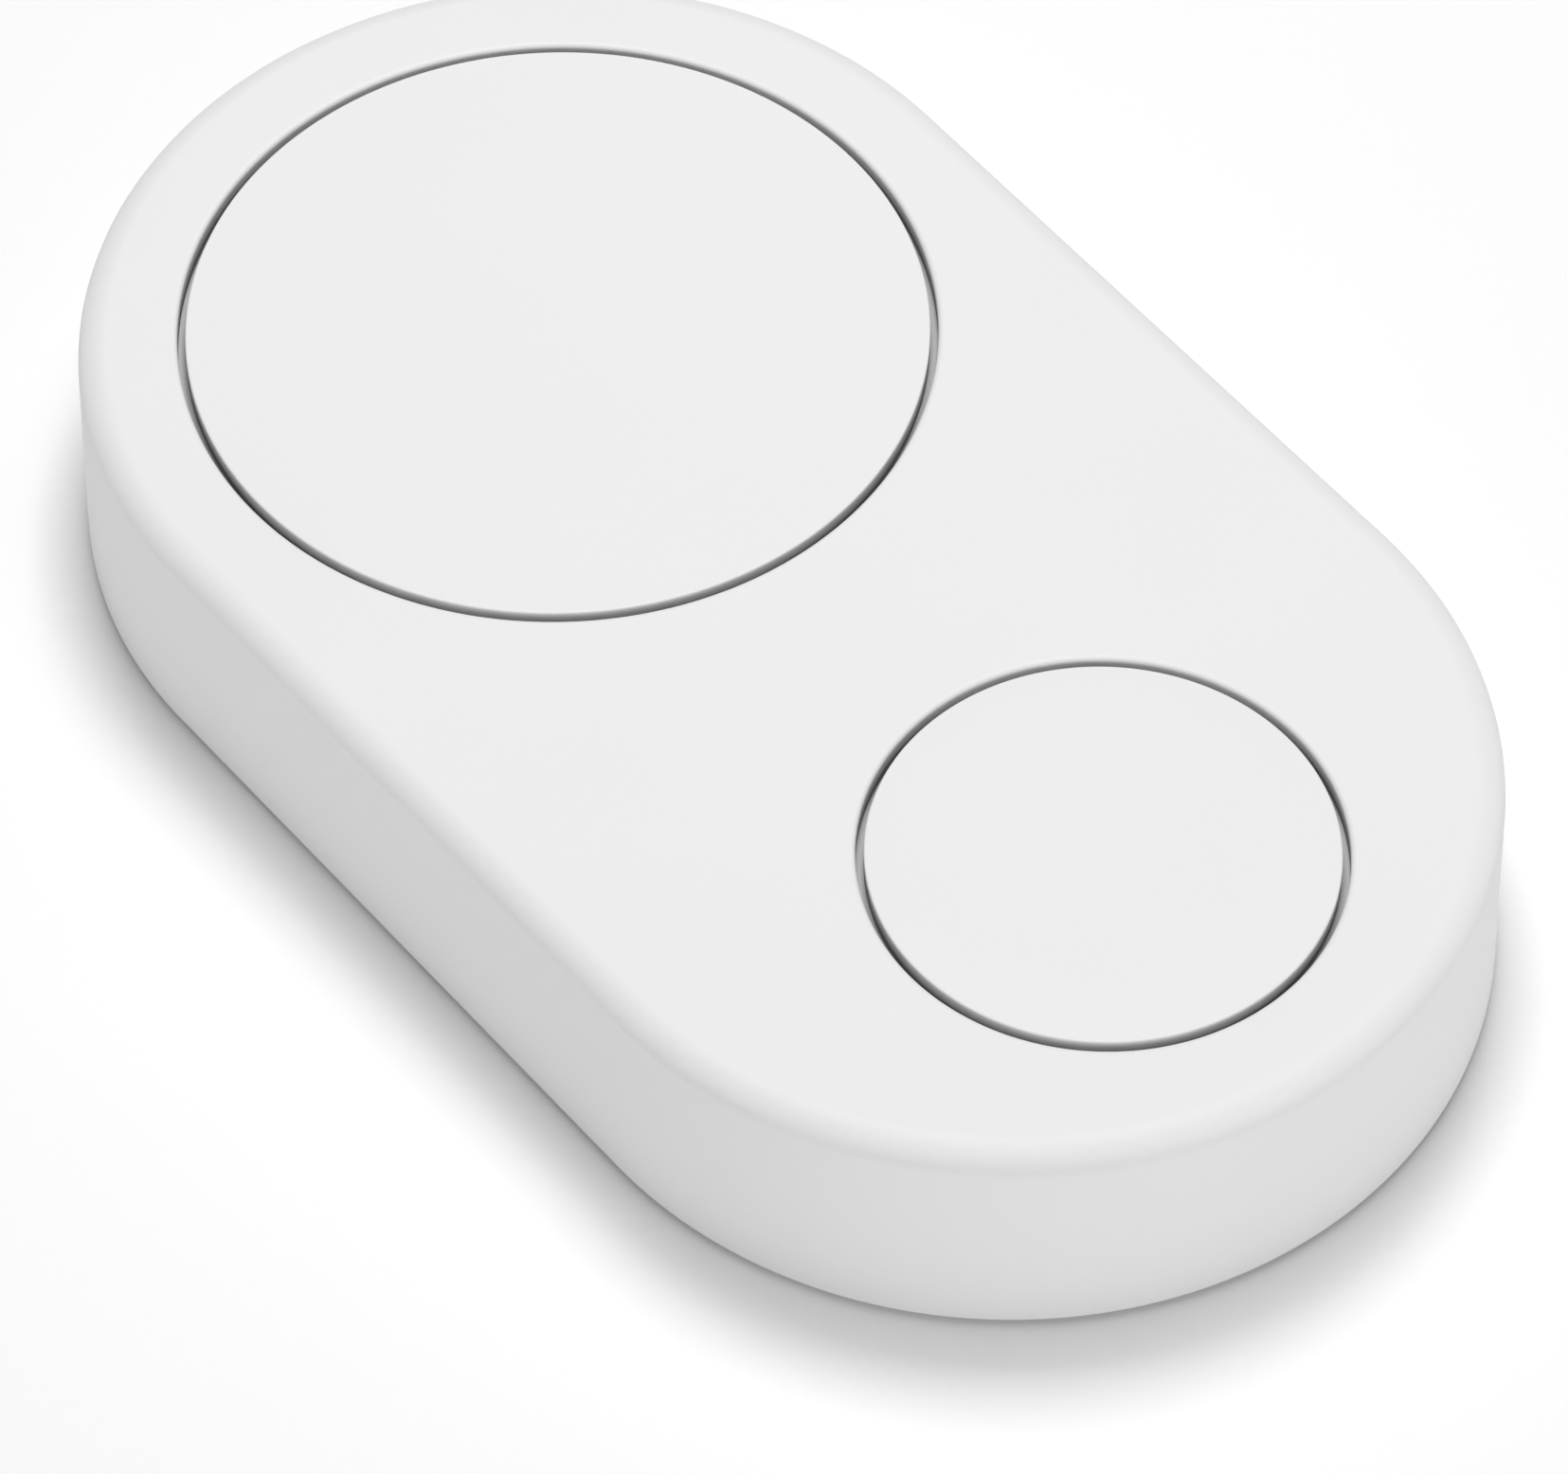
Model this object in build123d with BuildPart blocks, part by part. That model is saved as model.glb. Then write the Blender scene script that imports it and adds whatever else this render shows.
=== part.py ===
"""Two-button smart button: a flat pill-shaped body with one large and one small round press cap.

Millimetres. X runs along the body from the large button's end to the small button's end, +Z is up.
The origin is on the table, under the middle of the body.
"""

import os
from collections import namedtuple
from math import cos, degrees, radians, sin, sqrt, tan

from build123d import *

os.makedirs("parts", exist_ok=True)

# Outer body: its width follows from the coin cell, the door round it, the grip ring and the walls
end_spacing = 25.9  # between the centres of the two round ends
side_draft = 0.5  # degrees, wider towards the bottom
top_edge_radius = 1.1
foot_edge_radius = 0.05
rim_lift = 0.25  # the housing's rim stands this far off the table
upper_wall = 2.2  # side wall above the base cover
rim_wall = 1.6  # side wall around the base cover

# Buttons
rim_margin = 3.65  # from each button hole to the side of the body
small_hole_radius = 8.65
button_gap = 0.29
hole_edge_radius = 0.22
cap_edge_radius = 0.08
button_travel = 0.3
ledge_thickness = 0.9  # housing top above each cap's flange
flange_thickness = 0.6
flange_overlap = 0.8  # how far a flange reaches under the ledge
flange_play = 0.3  # between a flange and the wall of its pocket
cap_skin = 1.0
post_length = 0.2  # centre post below the flange, down to the switch
post_radius = 1.3
land_half_width = 0.8  # ring on the cap's underside that meets the return ring
flange_band = 1.2  # solid band at the cap's edge, inside the gap
cap_rib_width = 1.0
cap_rib_count = 6
key_width = 1.6
key_play = 0.2
key_count = 3
large_hub_radius = 3.0
small_hub_radius = 1.9
large_ring_radius = 9.0  # where each return ring's head touches its cap
small_ring_radius = 5.2

# Return rings
ring_spread = 1.2  # a ring's foot is this much wider in radius than its head
ring_foot_width = 1.2
ring_head_width = 0.8
ring_lip = 0.35

# Base cover
base_lift = 0.5  # underside of the base cover above the table
base_thickness = 1.25
base_gap = 0.1  # between the base cover and the housing's rim
nib_width = 6.0
nib_reach = 0.5
nib_height = 0.5
nib_rise = 0.45  # from the base cover's underside to the nib
nib_angle = 35.0  # each side of the body's long axis
nib_play = 0.15
nib_play_angle = 1.0  # degrees, at each end of a nib
mark_radius = 0.5
mark_depth = 0.15
mark_distance = 1.3  # from the door's edge to the middle of a mark

# Grip ring
grip_width = 0.9
grip_margin = 1.3  # from the door's opening to the grip ring
grip_inset = 0.4  # from the base cover's edge
grip_bed = 0.2  # depth of its groove

# Screws
boss_radius = 1.5
boss_inset = 2.7  # from the housing's inner wall to a boss's axis
boss_play = 0.2
boss_clearance = 0.3
screw_radius = 0.8
pilot_radius = 0.65
screw_hole_play = 0.1
screw_head_radius = 1.3
screw_head_height = 0.6
screw_head_play = 0.2
screw_recess = 0.8
screw_length = 4.4
recess_cross_length = 1.5
recess_cross_width = 0.38
recess_cross_depth = 0.35

# Coin cell, a standard size of 20 mm by 3.2 mm
cell_radius = 10.0
cell_height = 3.2
can_wall = 0.25
can_rim_drop = 0.35  # the can's rim ends this far below the lid's face
lid_wall = 0.25
lid_inset = 1.1  # from the can's side to the lid
gasket_play = 0.02

# Battery door
door_disc_thickness = 0.6
door_edge_radius = 0.12
door_floor = 0.9
door_axial_gap = 0.1
door_edge_gap = 0.15
door_neck_play = 0.25  # between the cell and the door's neck
door_neck_wall = 0.85
door_bore_gap = 0.15
tab_reach = 0.9
tab_thickness = 0.6
tab_gap = 0.05
tab_half_angle = 9.0
tab_slot_half_angle = 10.0
tab_count = 3
tab_rest_angle = 60.0
slot_play = 0.15
stop_play = 1.0  # degrees
stop_angle = 5.0
door_turn = 30.0  # degrees from locked to free
seal_width = 0.6
seal_bed = 0.25
seal_land = 0.15
coin_slot_length = 15.0
coin_slot_width = 1.8
coin_slot_depth = 0.5
cushion_inset = 2.5  # from the cell's side
cushion_thickness = 0.2

# Inner frame
contact_room = 0.65  # from the cell's top to the circuit board
board_gap = 0.4  # from the frame and the board to the housing's inner wall
frame_wall = 1.0
cell_pocket_play = 0.3
cell_ring_wall = 1.2
tab_room = 0.3
deck_thickness = 0.8
bulkhead_thickness = 1.0
bulkhead_offset = 1.3  # from the cell ring to the bulkhead
sleeve_wall = 0.9
stake_column_radius = 1.4
stake_radius = 0.6
stake_play = 0.1
stake_head_radius = 1.0
stake_head_height = 0.3
stake_inset = 2.3  # from the housing's inner wall

# Circuit board and switches
board_thickness = 0.8
bridge_rib_width = 0.8
switch_size = 5.2
switch_floor = 0.35
dome_radius = 1.8
dome_play = 0.15
dome_sheet = 0.08
plunger_radius = 1.0
plunger_play = 0.15
plunger_lip = 0.4
plunger_flange_height = 0.12
plunger_drop = 0.03  # from the plunger's flange up to the cover
plunger_spare = 0.15  # of the plunger above the cover when it is pressed
cover_sheet = 0.15
cover_tab_width = 2.0
cover_tab_height = 0.7
lead_width = 0.7
lead_reach = 0.6
lead_sheet = 0.2
lead_inset = 0.75  # from the switch's side to the middle of a lead

# Contacts: places along X are measured from the coin cell's axis
contact_sheet = 0.2
contact_touch = 0.02  # left between a contact's bend and the cell
contact_bend = 0.3
finger_bend = 1.0
finger_tail = 5.0
finger_root = 1.5
finger_tip = 3.0
finger_toe = 1.2
finger_toe_rise = 0.25
negative_width = 3.0
positive_width = 4.0
positive_tab = 1.6
window_play = 0.5

# Small parts under the board: size along X, size along Y, height; places are measured from the bulkhead
chip_size = (5.0, 5.0, 0.9)
chip_place = (10.0, 0.0)
crystal_size = (2.0, 1.6, 0.6)
crystal_places = [(14.6, 2.4), (10.4, 5.0)]
buffer_size = (3.5, 2.8, 1.9)
buffer_place = (5.6, -6.4)
capacitor_size = (1.0, 0.5, 0.5)
capacitor_places = [(14.3, -0.4), (14.3, -1.5), (14.3, -2.6), (6.2, 1.8), (6.2, 0.6), (6.2, -0.8),
                    (16.4, 4.6), (17.9, 4.6), (8.2, -4.0), (10.0, -4.0), (7.6, 7.2), (9.4, 7.2)]
resistor_size = (1.0, 0.5, 0.35)
resistor_places = [(11.8, -4.0), (13.6, -4.6), (11.4, 7.2), (13.2, 7.2), (16.4, -2.6), (17.9, -2.6)]
antenna_track = 0.4
antenna_sheet = 0.05
antenna_pitch = 1.1
antenna_bends = 7
antenna_inset = 1.0  # from the board's edge
antenna_gap = 0.2  # from the return ring's foot

# Radii worked out from the coin cell outwards; the body's half width is the last of them
neck_inner = cell_radius + door_neck_play
neck_outer = neck_inner + door_neck_wall
tab_radius = neck_outer + tab_reach
bore_radius = neck_outer + door_bore_gap
slot_radius = tab_radius + slot_play
seal_inner = slot_radius + seal_land
door_radius = seal_inner + seal_width + seal_land
door_hole_radius = door_radius + door_edge_gap
grip_inner = door_hole_radius + grip_margin
grip_outer = grip_inner + grip_width
base_radius = grip_outer + grip_inset
rim_radius = base_radius + base_gap
half_width = rim_radius + rim_wall  # at the top; 17.5 mm with these sizes
inner_radius = half_width - upper_wall
board_radius = inner_radius - board_gap
lid_radius = cell_radius - lid_inset
cell_ring_radius = cell_radius + cell_pocket_play + cell_ring_wall

# Heights worked out from the table upwards
base_top = base_lift + base_thickness
door_ledge = base_lift + door_disc_thickness + door_axial_gap
door_floor_top = base_lift + door_floor
cell_bottom = door_floor_top + cushion_thickness
cell_top = cell_bottom + cell_height
board_bottom = cell_top + contact_room
board_top = board_bottom + board_thickness
cavity_floor = board_top + switch_floor
dome_foot = cavity_floor + contact_touch
dome_top = dome_foot + button_travel + dome_sheet
switch_body_top = dome_top + plunger_flange_height + plunger_drop
plunger_top = switch_body_top + cover_sheet + plunger_spare + button_travel
flange_bottom = plunger_top + post_length
flange_top = flange_bottom + flange_thickness
body_height = flange_top + ledge_thickness
underside = flange_bottom  # of the housing's top
tab_bottom = base_top + tab_gap
tab_top = tab_bottom + tab_thickness
tab_room_top = tab_top + tab_room

# Places worked out from the sizes above
end_x = end_spacing / 2
large_x = -end_x
large_hole_radius = half_width - rim_margin
small_x = end_x + half_width - rim_margin - small_hole_radius
boss_y = inner_radius - boss_inset
large_pocket_radius = large_hole_radius + flange_overlap + flange_play
small_pocket_radius = small_hole_radius + flange_overlap + flange_play
boss_reach = large_pocket_radius + boss_radius + boss_clearance
boss_x = large_x + sqrt(boss_reach**2 - boss_y**2)
boss_places = [(x, y) for x in (boss_x, end_x) for y in (-boss_y, boss_y)]
bridge_x = (large_x + large_pocket_radius + small_x - small_pocket_radius) / 2
stake_x = (bridge_x + end_x) / 2
stake_y = inner_radius - stake_inset
stake_places = [(stake_x, -stake_y), (stake_x, stake_y)]
bulkhead_x = large_x + cell_ring_radius + bulkhead_offset
nib_half_angle = degrees(nib_width / 2 / base_radius)
nib_room_half_angle = nib_half_angle + nib_play_angle
nib_turns = (180 - nib_angle, 180 + nib_angle)
tab_turns = [tab_rest_angle + k * 360 / tab_count for k in range(tab_count)]
stop_offset = tab_half_angle + stop_play + stop_angle / 2

Button = namedtuple("Button", "name x hole_radius ring_radius hub_radius")
buttons = [
    Button("large", large_x, large_hole_radius, large_ring_radius, large_hub_radius),
    Button("small", small_x, small_hole_radius, small_ring_radius, small_hub_radius),
]


def save(piece, label):
    """Names a finished piece and writes its file."""
    piece.part.label = label
    export_step(piece.part, f"parts/{label}.step")


class RingSector(BaseSketchObject):
    """Part of a flat ring, centred on the +X direction before it is turned."""

    def __init__(self, inner, outer, half_angle, rotation=0, mode=Mode.ADD):
        with BuildSketch(mode=Mode.PRIVATE) as sector:
            with BuildLine():
                far = CenterArc((0, 0), outer, -half_angle, 2 * half_angle)
                near = CenterArc((0, 0), inner, -half_angle, 2 * half_angle)
                Line(near @ 0, far @ 0)
                Line(near @ 1, far @ 1)
            make_face()
        super().__init__(obj=sector.sketch, rotation=rotation, align=None, mode=mode)


class BossFootprint(BaseSketchObject):
    """The screw bosses and the webs that tie them to the side wall, grown by a margin."""

    def __init__(self, margin=0.0, mode=Mode.ADD):
        with BuildSketch(mode=Mode.PRIVATE) as print_of_bosses:
            with Locations(*boss_places):
                Circle(boss_radius + margin)
            for x in (boss_x, end_x):
                for y in (-inner_radius, inner_radius):
                    with Locations((x, y)):
                        Rectangle(boss_radius + 2 * margin, 2 * boss_inset)
            SlotCenterToCenter(end_spacing, 2 * inner_radius + upper_wall / 2, mode=Mode.INTERSECT)
        super().__init__(obj=print_of_bosses.sketch, align=None, mode=mode)


# Housing: the tapered shell, its rounded edges, the inside, and the two holes with their pockets
foot_width = 2 * half_width + 2 * (body_height - rim_lift) * tan(radians(side_draft))
with BuildPart() as top_housing:
    with BuildSketch(Plane.XY.offset(rim_lift)):
        SlotCenterToCenter(end_spacing, foot_width)
    extrude(amount=body_height - rim_lift, taper=side_draft)
    fillet(top_housing.edges().group_by(Axis.Z)[-1], top_edge_radius)
    fillet(top_housing.edges().group_by(Axis.Z)[0], foot_edge_radius)
    with BuildSketch(Plane.XY.offset(rim_lift)):
        SlotCenterToCenter(end_spacing, 2 * rim_radius)
    extrude(amount=base_top - rim_lift, mode=Mode.SUBTRACT)
    with BuildSketch(Plane.XY.offset(base_top)):
        SlotCenterToCenter(end_spacing, 2 * inner_radius)
    extrude(amount=underside - base_top, mode=Mode.SUBTRACT)
    for button in buttons:
        pocket_radius = button.hole_radius + flange_overlap + flange_play
        with BuildSketch(Plane.XY.offset(underside)):
            with Locations((button.x, 0)):
                Circle(pocket_radius)
                with PolarLocations(pocket_radius, key_count):
                    Rectangle(2 * flange_overlap, key_width, mode=Mode.SUBTRACT)
        extrude(amount=flange_thickness, mode=Mode.SUBTRACT)
        with BuildSketch(Plane.XY.offset(flange_top)):
            with Locations((button.x, 0)):
                Circle(button.hole_radius)
        extrude(amount=ledge_thickness, mode=Mode.SUBTRACT)
    hole_mouths = top_housing.edges().group_by(Axis.Z)[-1].filter_by(lambda edge: edge.is_closed)
    fillet(hole_mouths, hole_edge_radius)
    with BuildSketch(Plane.XY.offset(base_top)):
        BossFootprint()
    extrude(amount=underside - base_top)
    with BuildSketch(Plane.XY.offset(board_top)):
        with Locations((bridge_x, 0)):
            Rectangle(bridge_rib_width, 2 * inner_radius + upper_wall / 2)
    extrude(amount=underside - board_top)
    with BuildSketch(Plane.XY.offset(base_top)):
        with Locations(*boss_places):
            Circle(pilot_radius)
    extrude(amount=screw_length, mode=Mode.SUBTRACT)
    with BuildSketch(Plane.XY.offset(base_lift + nib_rise - nib_play)):
        with Locations((-end_x, 0)):
            for turn in nib_turns:
                RingSector(base_radius, base_radius + nib_reach + nib_play, nib_room_half_angle, turn)
    extrude(amount=nib_height + 2 * nib_play, mode=Mode.SUBTRACT)
save(top_housing, "top_housing")


# Press caps: disc, hidden flange with key notches, ribbed underside and a centre post
def press_cap(button):
    cap_radius = button.hole_radius - button_gap
    flange_radius = button.hole_radius + flange_overlap
    with BuildPart() as cap:
        with BuildSketch(Plane.XY.offset(flange_bottom)):
            with Locations((button.x, 0)):
                Circle(flange_radius)
                with PolarLocations(button.hole_radius, key_count):
                    Rectangle(
                        2 * flange_overlap, key_width + 2 * key_play,
                        align=(Align.MIN, Align.CENTER), mode=Mode.SUBTRACT,
                    )
        extrude(amount=flange_thickness)
        with BuildSketch(Plane.XY.offset(flange_bottom)):
            with Locations((button.x, 0)):
                Circle(cap_radius)
        extrude(amount=flange_thickness + ledge_thickness)
        fillet(cap.edges().group_by(Axis.Z)[-1], cap_edge_radius)
        with BuildSketch(Plane.XY.offset(flange_bottom)):
            with Locations((button.x, 0)):
                Circle(cap_radius - flange_band)
                Circle(button.ring_radius + land_half_width, mode=Mode.SUBTRACT)
                Circle(button.ring_radius - land_half_width)
                Circle(button.hub_radius, mode=Mode.SUBTRACT)
                with PolarLocations(0, cap_rib_count):
                    Rectangle(
                        cap_radius, cap_rib_width,
                        align=(Align.MIN, Align.CENTER), mode=Mode.SUBTRACT,
                    )
        extrude(amount=flange_thickness + ledge_thickness - cap_skin, mode=Mode.SUBTRACT)
        with BuildSketch(Plane.XY.offset(plunger_top)):
            with Locations((button.x, 0)):
                Circle(post_radius)
        extrude(amount=post_length)
    return cap


# Return rings: soft rings whose slanted wall gives way when the cap goes down
def return_ring(button):
    foot_radius = button.ring_radius + ring_spread
    foot_in = foot_radius - ring_foot_width / 2
    foot_out = foot_radius + ring_foot_width / 2
    head_in = button.ring_radius - ring_head_width / 2
    head_out = button.ring_radius + ring_head_width / 2
    with BuildPart() as ring:
        with BuildSketch(Plane.XZ):
            with BuildLine():
                Polyline(
                    (foot_in, board_top), (foot_out, board_top), (foot_out, board_top + ring_lip),
                    (head_out, flange_bottom - ring_lip), (head_out, flange_bottom),
                    (head_in, flange_bottom), (head_in, flange_bottom - ring_lip),
                    (foot_in, board_top + ring_lip), close=True,
                )
            make_face()
        revolve(axis=Axis.Z)
    ring.part.position = (button.x, 0, 0)
    return ring


# Tactile switch, standing on the board: base with a cavity, steel cover, snap dome, plunger, leads
def switch_base(x):
    with BuildPart() as base:
        with BuildSketch(Plane.XY.offset(board_top)):
            with Locations((x, 0)):
                Rectangle(switch_size, switch_size)
        extrude(amount=switch_body_top - board_top)
        chamfer(base.edges().filter_by(Axis.Z), cover_sheet)
        with BuildSketch(Plane.XY.offset(cavity_floor)):
            with Locations((x, 0)):
                Circle(dome_radius + dome_play)
        extrude(amount=switch_body_top - cavity_floor, mode=Mode.SUBTRACT)
    return base


def switch_cover(x):
    with BuildPart() as cover:
        with BuildSketch(Plane.XY.offset(switch_body_top)):
            with Locations((x, 0)):
                Rectangle(switch_size - 2 * cover_sheet, switch_size + 2 * cover_sheet)
                Circle(plunger_radius + plunger_play, mode=Mode.SUBTRACT)
        extrude(amount=cover_sheet)
        with BuildSketch(Plane.XY.offset(switch_body_top - cover_tab_height)):
            with Locations((x, switch_size / 2), (x, -switch_size / 2 - cover_sheet)):
                Rectangle(cover_tab_width, cover_sheet, align=(Align.CENTER, Align.MIN))
        extrude(amount=cover_tab_height)
    return cover


def switch_dome(x):
    crown = (dome_radius**2 + button_travel**2) / (2 * button_travel)
    rise = sqrt(crown**2 - (dome_radius / 2) ** 2) - (crown - button_travel)
    with BuildPart() as dome:
        with BuildSketch(Plane.XZ):
            with BuildLine():
                upper = ThreePointArc(
                    (0, dome_top), (dome_radius / 2, dome_foot + dome_sheet + rise),
                    (dome_radius, dome_foot + dome_sheet),
                )
                lower = ThreePointArc(
                    (0, dome_top - dome_sheet), (dome_radius / 2, dome_foot + rise),
                    (dome_radius, dome_foot),
                )
                Line(upper @ 0, lower @ 0)
                Line(upper @ 1, lower @ 1)
            make_face()
        revolve(axis=Axis.Z)
    dome.part.position = (x, 0, 0)
    return dome


def switch_plunger(x):
    with BuildPart() as plunger:
        with BuildSketch(Plane.XY.offset(dome_top)):
            with Locations((x, 0)):
                Circle(plunger_radius + plunger_lip)
        extrude(amount=plunger_flange_height)
        with BuildSketch(Plane.XY.offset(dome_top + plunger_flange_height)):
            with Locations((x, 0)):
                Circle(plunger_radius)
        extrude(amount=plunger_top - dome_top - plunger_flange_height)
    return plunger


def switch_leads(x):
    with BuildPart() as leads:
        with BuildSketch(Plane.XY.offset(board_top)):
            with Locations((x, 0)):
                with GridLocations(switch_size + lead_reach, switch_size - 2 * lead_inset, 2, 2):
                    Rectangle(lead_reach, lead_width)
        extrude(amount=lead_sheet)
    return leads


for button in buttons:
    save(press_cap(button), f"{button.name}_button_cap")
    save(return_ring(button), f"{button.name}_return_ring")
    save(switch_base(button.x), f"{button.name}_switch_base")
    save(switch_cover(button.x), f"{button.name}_switch_cover")
    save(switch_dome(button.x), f"{button.name}_switch_dome")
    save(switch_plunger(button.x), f"{button.name}_switch_plunger")
    save(switch_leads(button.x), f"{button.name}_switch_leads")


# Base cover: plate inside the rim, with the door's opening, screw seats, nibs and the ring's groove
with BuildPart() as base_cover:
    with BuildSketch(Plane.XY.offset(base_lift)):
        SlotCenterToCenter(end_spacing, 2 * base_radius)
    extrude(amount=base_thickness)
    with BuildSketch(Plane.XY.offset(base_lift + nib_rise)):
        with Locations((-end_x, 0)):
            for turn in nib_turns:
                RingSector(base_radius - nib_reach, base_radius + nib_reach, nib_half_angle, turn)
    extrude(amount=nib_height)
    with BuildSketch(Plane.XY.offset(base_lift)):
        with Locations((large_x, 0)):
            Circle(door_hole_radius)
    extrude(amount=door_ledge - base_lift, mode=Mode.SUBTRACT)
    with BuildSketch(Plane.XY.offset(door_ledge)):
        with Locations((large_x, 0)):
            Circle(bore_radius)
            for turn in tab_turns:
                RingSector(neck_outer, slot_radius, tab_slot_half_angle, turn - door_turn)
    extrude(amount=base_top - door_ledge, mode=Mode.SUBTRACT)
    with BuildSketch(Plane.XY.offset(base_top)):
        with Locations((large_x, 0)):
            for turn in tab_turns:
                RingSector(bore_radius, slot_radius, stop_angle / 2, turn + stop_offset)
                RingSector(bore_radius, slot_radius, stop_angle / 2, turn - door_turn - stop_offset)
    extrude(amount=tab_thickness)
    with BuildSketch(Plane.XY.offset(base_lift)):
        SlotCenterToCenter(end_spacing, 2 * grip_outer)
        SlotCenterToCenter(end_spacing, 2 * grip_inner, mode=Mode.SUBTRACT)
    extrude(amount=grip_bed, mode=Mode.SUBTRACT)
    with BuildSketch(Plane.XY.offset(base_lift)):
        with Locations(*boss_places):
            Circle(screw_head_radius + screw_head_play)
    extrude(amount=screw_recess, mode=Mode.SUBTRACT)
    with BuildSketch(Plane.XY.offset(base_lift)):
        with Locations(*boss_places):
            Circle(screw_radius + screw_hole_play)
    extrude(amount=base_thickness, mode=Mode.SUBTRACT)
    with BuildSketch(Plane.XY.offset(base_lift)):
        reach = door_radius + mark_distance
        with Locations((large_x + reach, 0)):
            Circle(mark_radius)
        away = radians(-door_turn)
        with Locations((large_x + reach * cos(away), reach * sin(away))):
            Circle(mark_radius)
            Circle(mark_radius / 2, mode=Mode.SUBTRACT)
    extrude(amount=mark_depth, mode=Mode.SUBTRACT)
save(base_cover, "base_cover")


# Grip ring: the foot that the object stands on
with BuildPart() as grip_ring:
    with BuildSketch(Plane.XY):
        SlotCenterToCenter(end_spacing, 2 * grip_outer)
        SlotCenterToCenter(end_spacing, 2 * grip_inner, mode=Mode.SUBTRACT)
    extrude(amount=base_lift + grip_bed)
save(grip_ring, "grip_ring")


# Screws: pan heads in the base cover's seats, shanks in the housing's bosses
screw_seat = base_lift + screw_recess
with BuildPart() as base_screws:
    with BuildSketch(Plane.XY.offset(screw_seat - screw_head_height)):
        with Locations(*boss_places):
            Circle(screw_head_radius)
    extrude(amount=screw_head_height)
    fillet(base_screws.edges().group_by(Axis.Z)[0], screw_head_height / 3)
    with BuildSketch(Plane.XY.offset(screw_seat)):
        with Locations(*boss_places):
            Circle(screw_radius)
    extrude(amount=screw_length)
    with BuildSketch(Plane.XY.offset(screw_seat - screw_head_height)):
        with Locations(*boss_places):
            Rectangle(recess_cross_length, recess_cross_width)
            Rectangle(recess_cross_width, recess_cross_length)
    extrude(amount=recess_cross_depth, mode=Mode.SUBTRACT)
save(base_screws, "base_screws")


# Battery door: disc with a coin slot, neck round the cell, tabs that lock behind the base cover
with BuildPart() as battery_door:
    with BuildSketch(Plane.XY.offset(base_lift)):
        with Locations((large_x, 0)):
            Circle(door_radius)
    extrude(amount=door_disc_thickness)
    with BuildSketch(Plane.XY.offset(base_lift)):
        with Locations((large_x, 0)):
            Circle(neck_outer)
    extrude(amount=tab_top - base_lift)
    with BuildSketch(Plane.XY.offset(tab_bottom)):
        with Locations((large_x, 0)):
            for turn in tab_turns:
                RingSector(neck_inner, tab_radius, tab_half_angle, turn)
    extrude(amount=tab_thickness)
    with BuildSketch(Plane.XY.offset(door_floor_top)):
        with Locations((large_x, 0)):
            Circle(neck_inner)
    extrude(amount=tab_top - door_floor_top, mode=Mode.SUBTRACT)
    with BuildSketch(Plane.XY.offset(base_lift + door_disc_thickness - seal_bed)):
        with Locations((large_x, 0)):
            Circle(seal_inner + seal_width)
            Circle(seal_inner, mode=Mode.SUBTRACT)
    extrude(amount=seal_bed, mode=Mode.SUBTRACT)
    with BuildSketch(Plane.XY.offset(base_lift)):
        with Locations((large_x, 0)):
            SlotOverall(coin_slot_length, coin_slot_width, rotation=90)
    extrude(amount=coin_slot_depth, mode=Mode.SUBTRACT)
    with BuildSketch(Plane.XY.offset(base_lift)):
        with Locations((large_x + door_radius - mark_distance, 0)):
            Circle(mark_radius)
    extrude(amount=mark_depth, mode=Mode.SUBTRACT)
    door_rim = battery_door.edges().filter_by(GeomType.CIRCLE).group_by(Axis.Z)[0].sort_by(SortBy.RADIUS)[-1]
    fillet(door_rim, door_edge_radius)
save(battery_door, "battery_door")

with BuildPart() as door_seal:
    with BuildSketch(Plane.XY.offset(base_lift + door_disc_thickness - seal_bed)):
        with Locations((large_x, 0)):
            Circle(seal_inner + seal_width)
            Circle(seal_inner, mode=Mode.SUBTRACT)
    extrude(amount=seal_bed + door_axial_gap)
save(door_seal, "door_seal")

with BuildPart() as cell_cushion:
    with BuildSketch(Plane.XY.offset(door_floor_top)):
        with Locations((large_x, 0)):
            Circle(cell_radius - cushion_inset)
    extrude(amount=cushion_thickness)
save(cell_cushion, "cell_cushion")


# Coin cell: the can with the positive face down, the lid on top, the gasket between, the core inside
can_top = cell_top - can_rim_drop
core_top = can_top - lid_wall
with BuildPart() as battery_can:
    with BuildSketch(Plane.XY.offset(cell_bottom)):
        with Locations((large_x, 0)):
            Circle(cell_radius)
    extrude(amount=can_top - cell_bottom)
    fillet(battery_can.edges().group_by(Axis.Z)[0], can_wall)
    with BuildSketch(Plane.XY.offset(cell_bottom + can_wall)):
        with Locations((large_x, 0)):
            Circle(cell_radius - can_wall)
    extrude(amount=can_top - cell_bottom - can_wall, mode=Mode.SUBTRACT)
save(battery_can, "battery_can")

with BuildPart() as battery_gasket:
    with BuildSketch(Plane.XY.offset(core_top)):
        with Locations((large_x, 0)):
            Circle(cell_radius - can_wall - gasket_play)
            Circle(lid_radius + gasket_play, mode=Mode.SUBTRACT)
    extrude(amount=can_top - core_top)
save(battery_gasket, "battery_gasket")

with BuildPart() as battery_core:
    with BuildSketch(Plane.XY.offset(cell_bottom + can_wall)):
        with Locations((large_x, 0)):
            Circle(cell_radius - can_wall - gasket_play)
    extrude(amount=core_top - cell_bottom - can_wall)
save(battery_core, "battery_core")

with BuildPart() as battery_lid:
    with BuildSketch(Plane.XY.offset(core_top)):
        with Locations((large_x, 0)):
            Circle(lid_radius)
    extrude(amount=cell_top - core_top)
    fillet(battery_lid.edges().group_by(Axis.Z)[-1], lid_wall)
save(battery_lid, "battery_lid")


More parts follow.
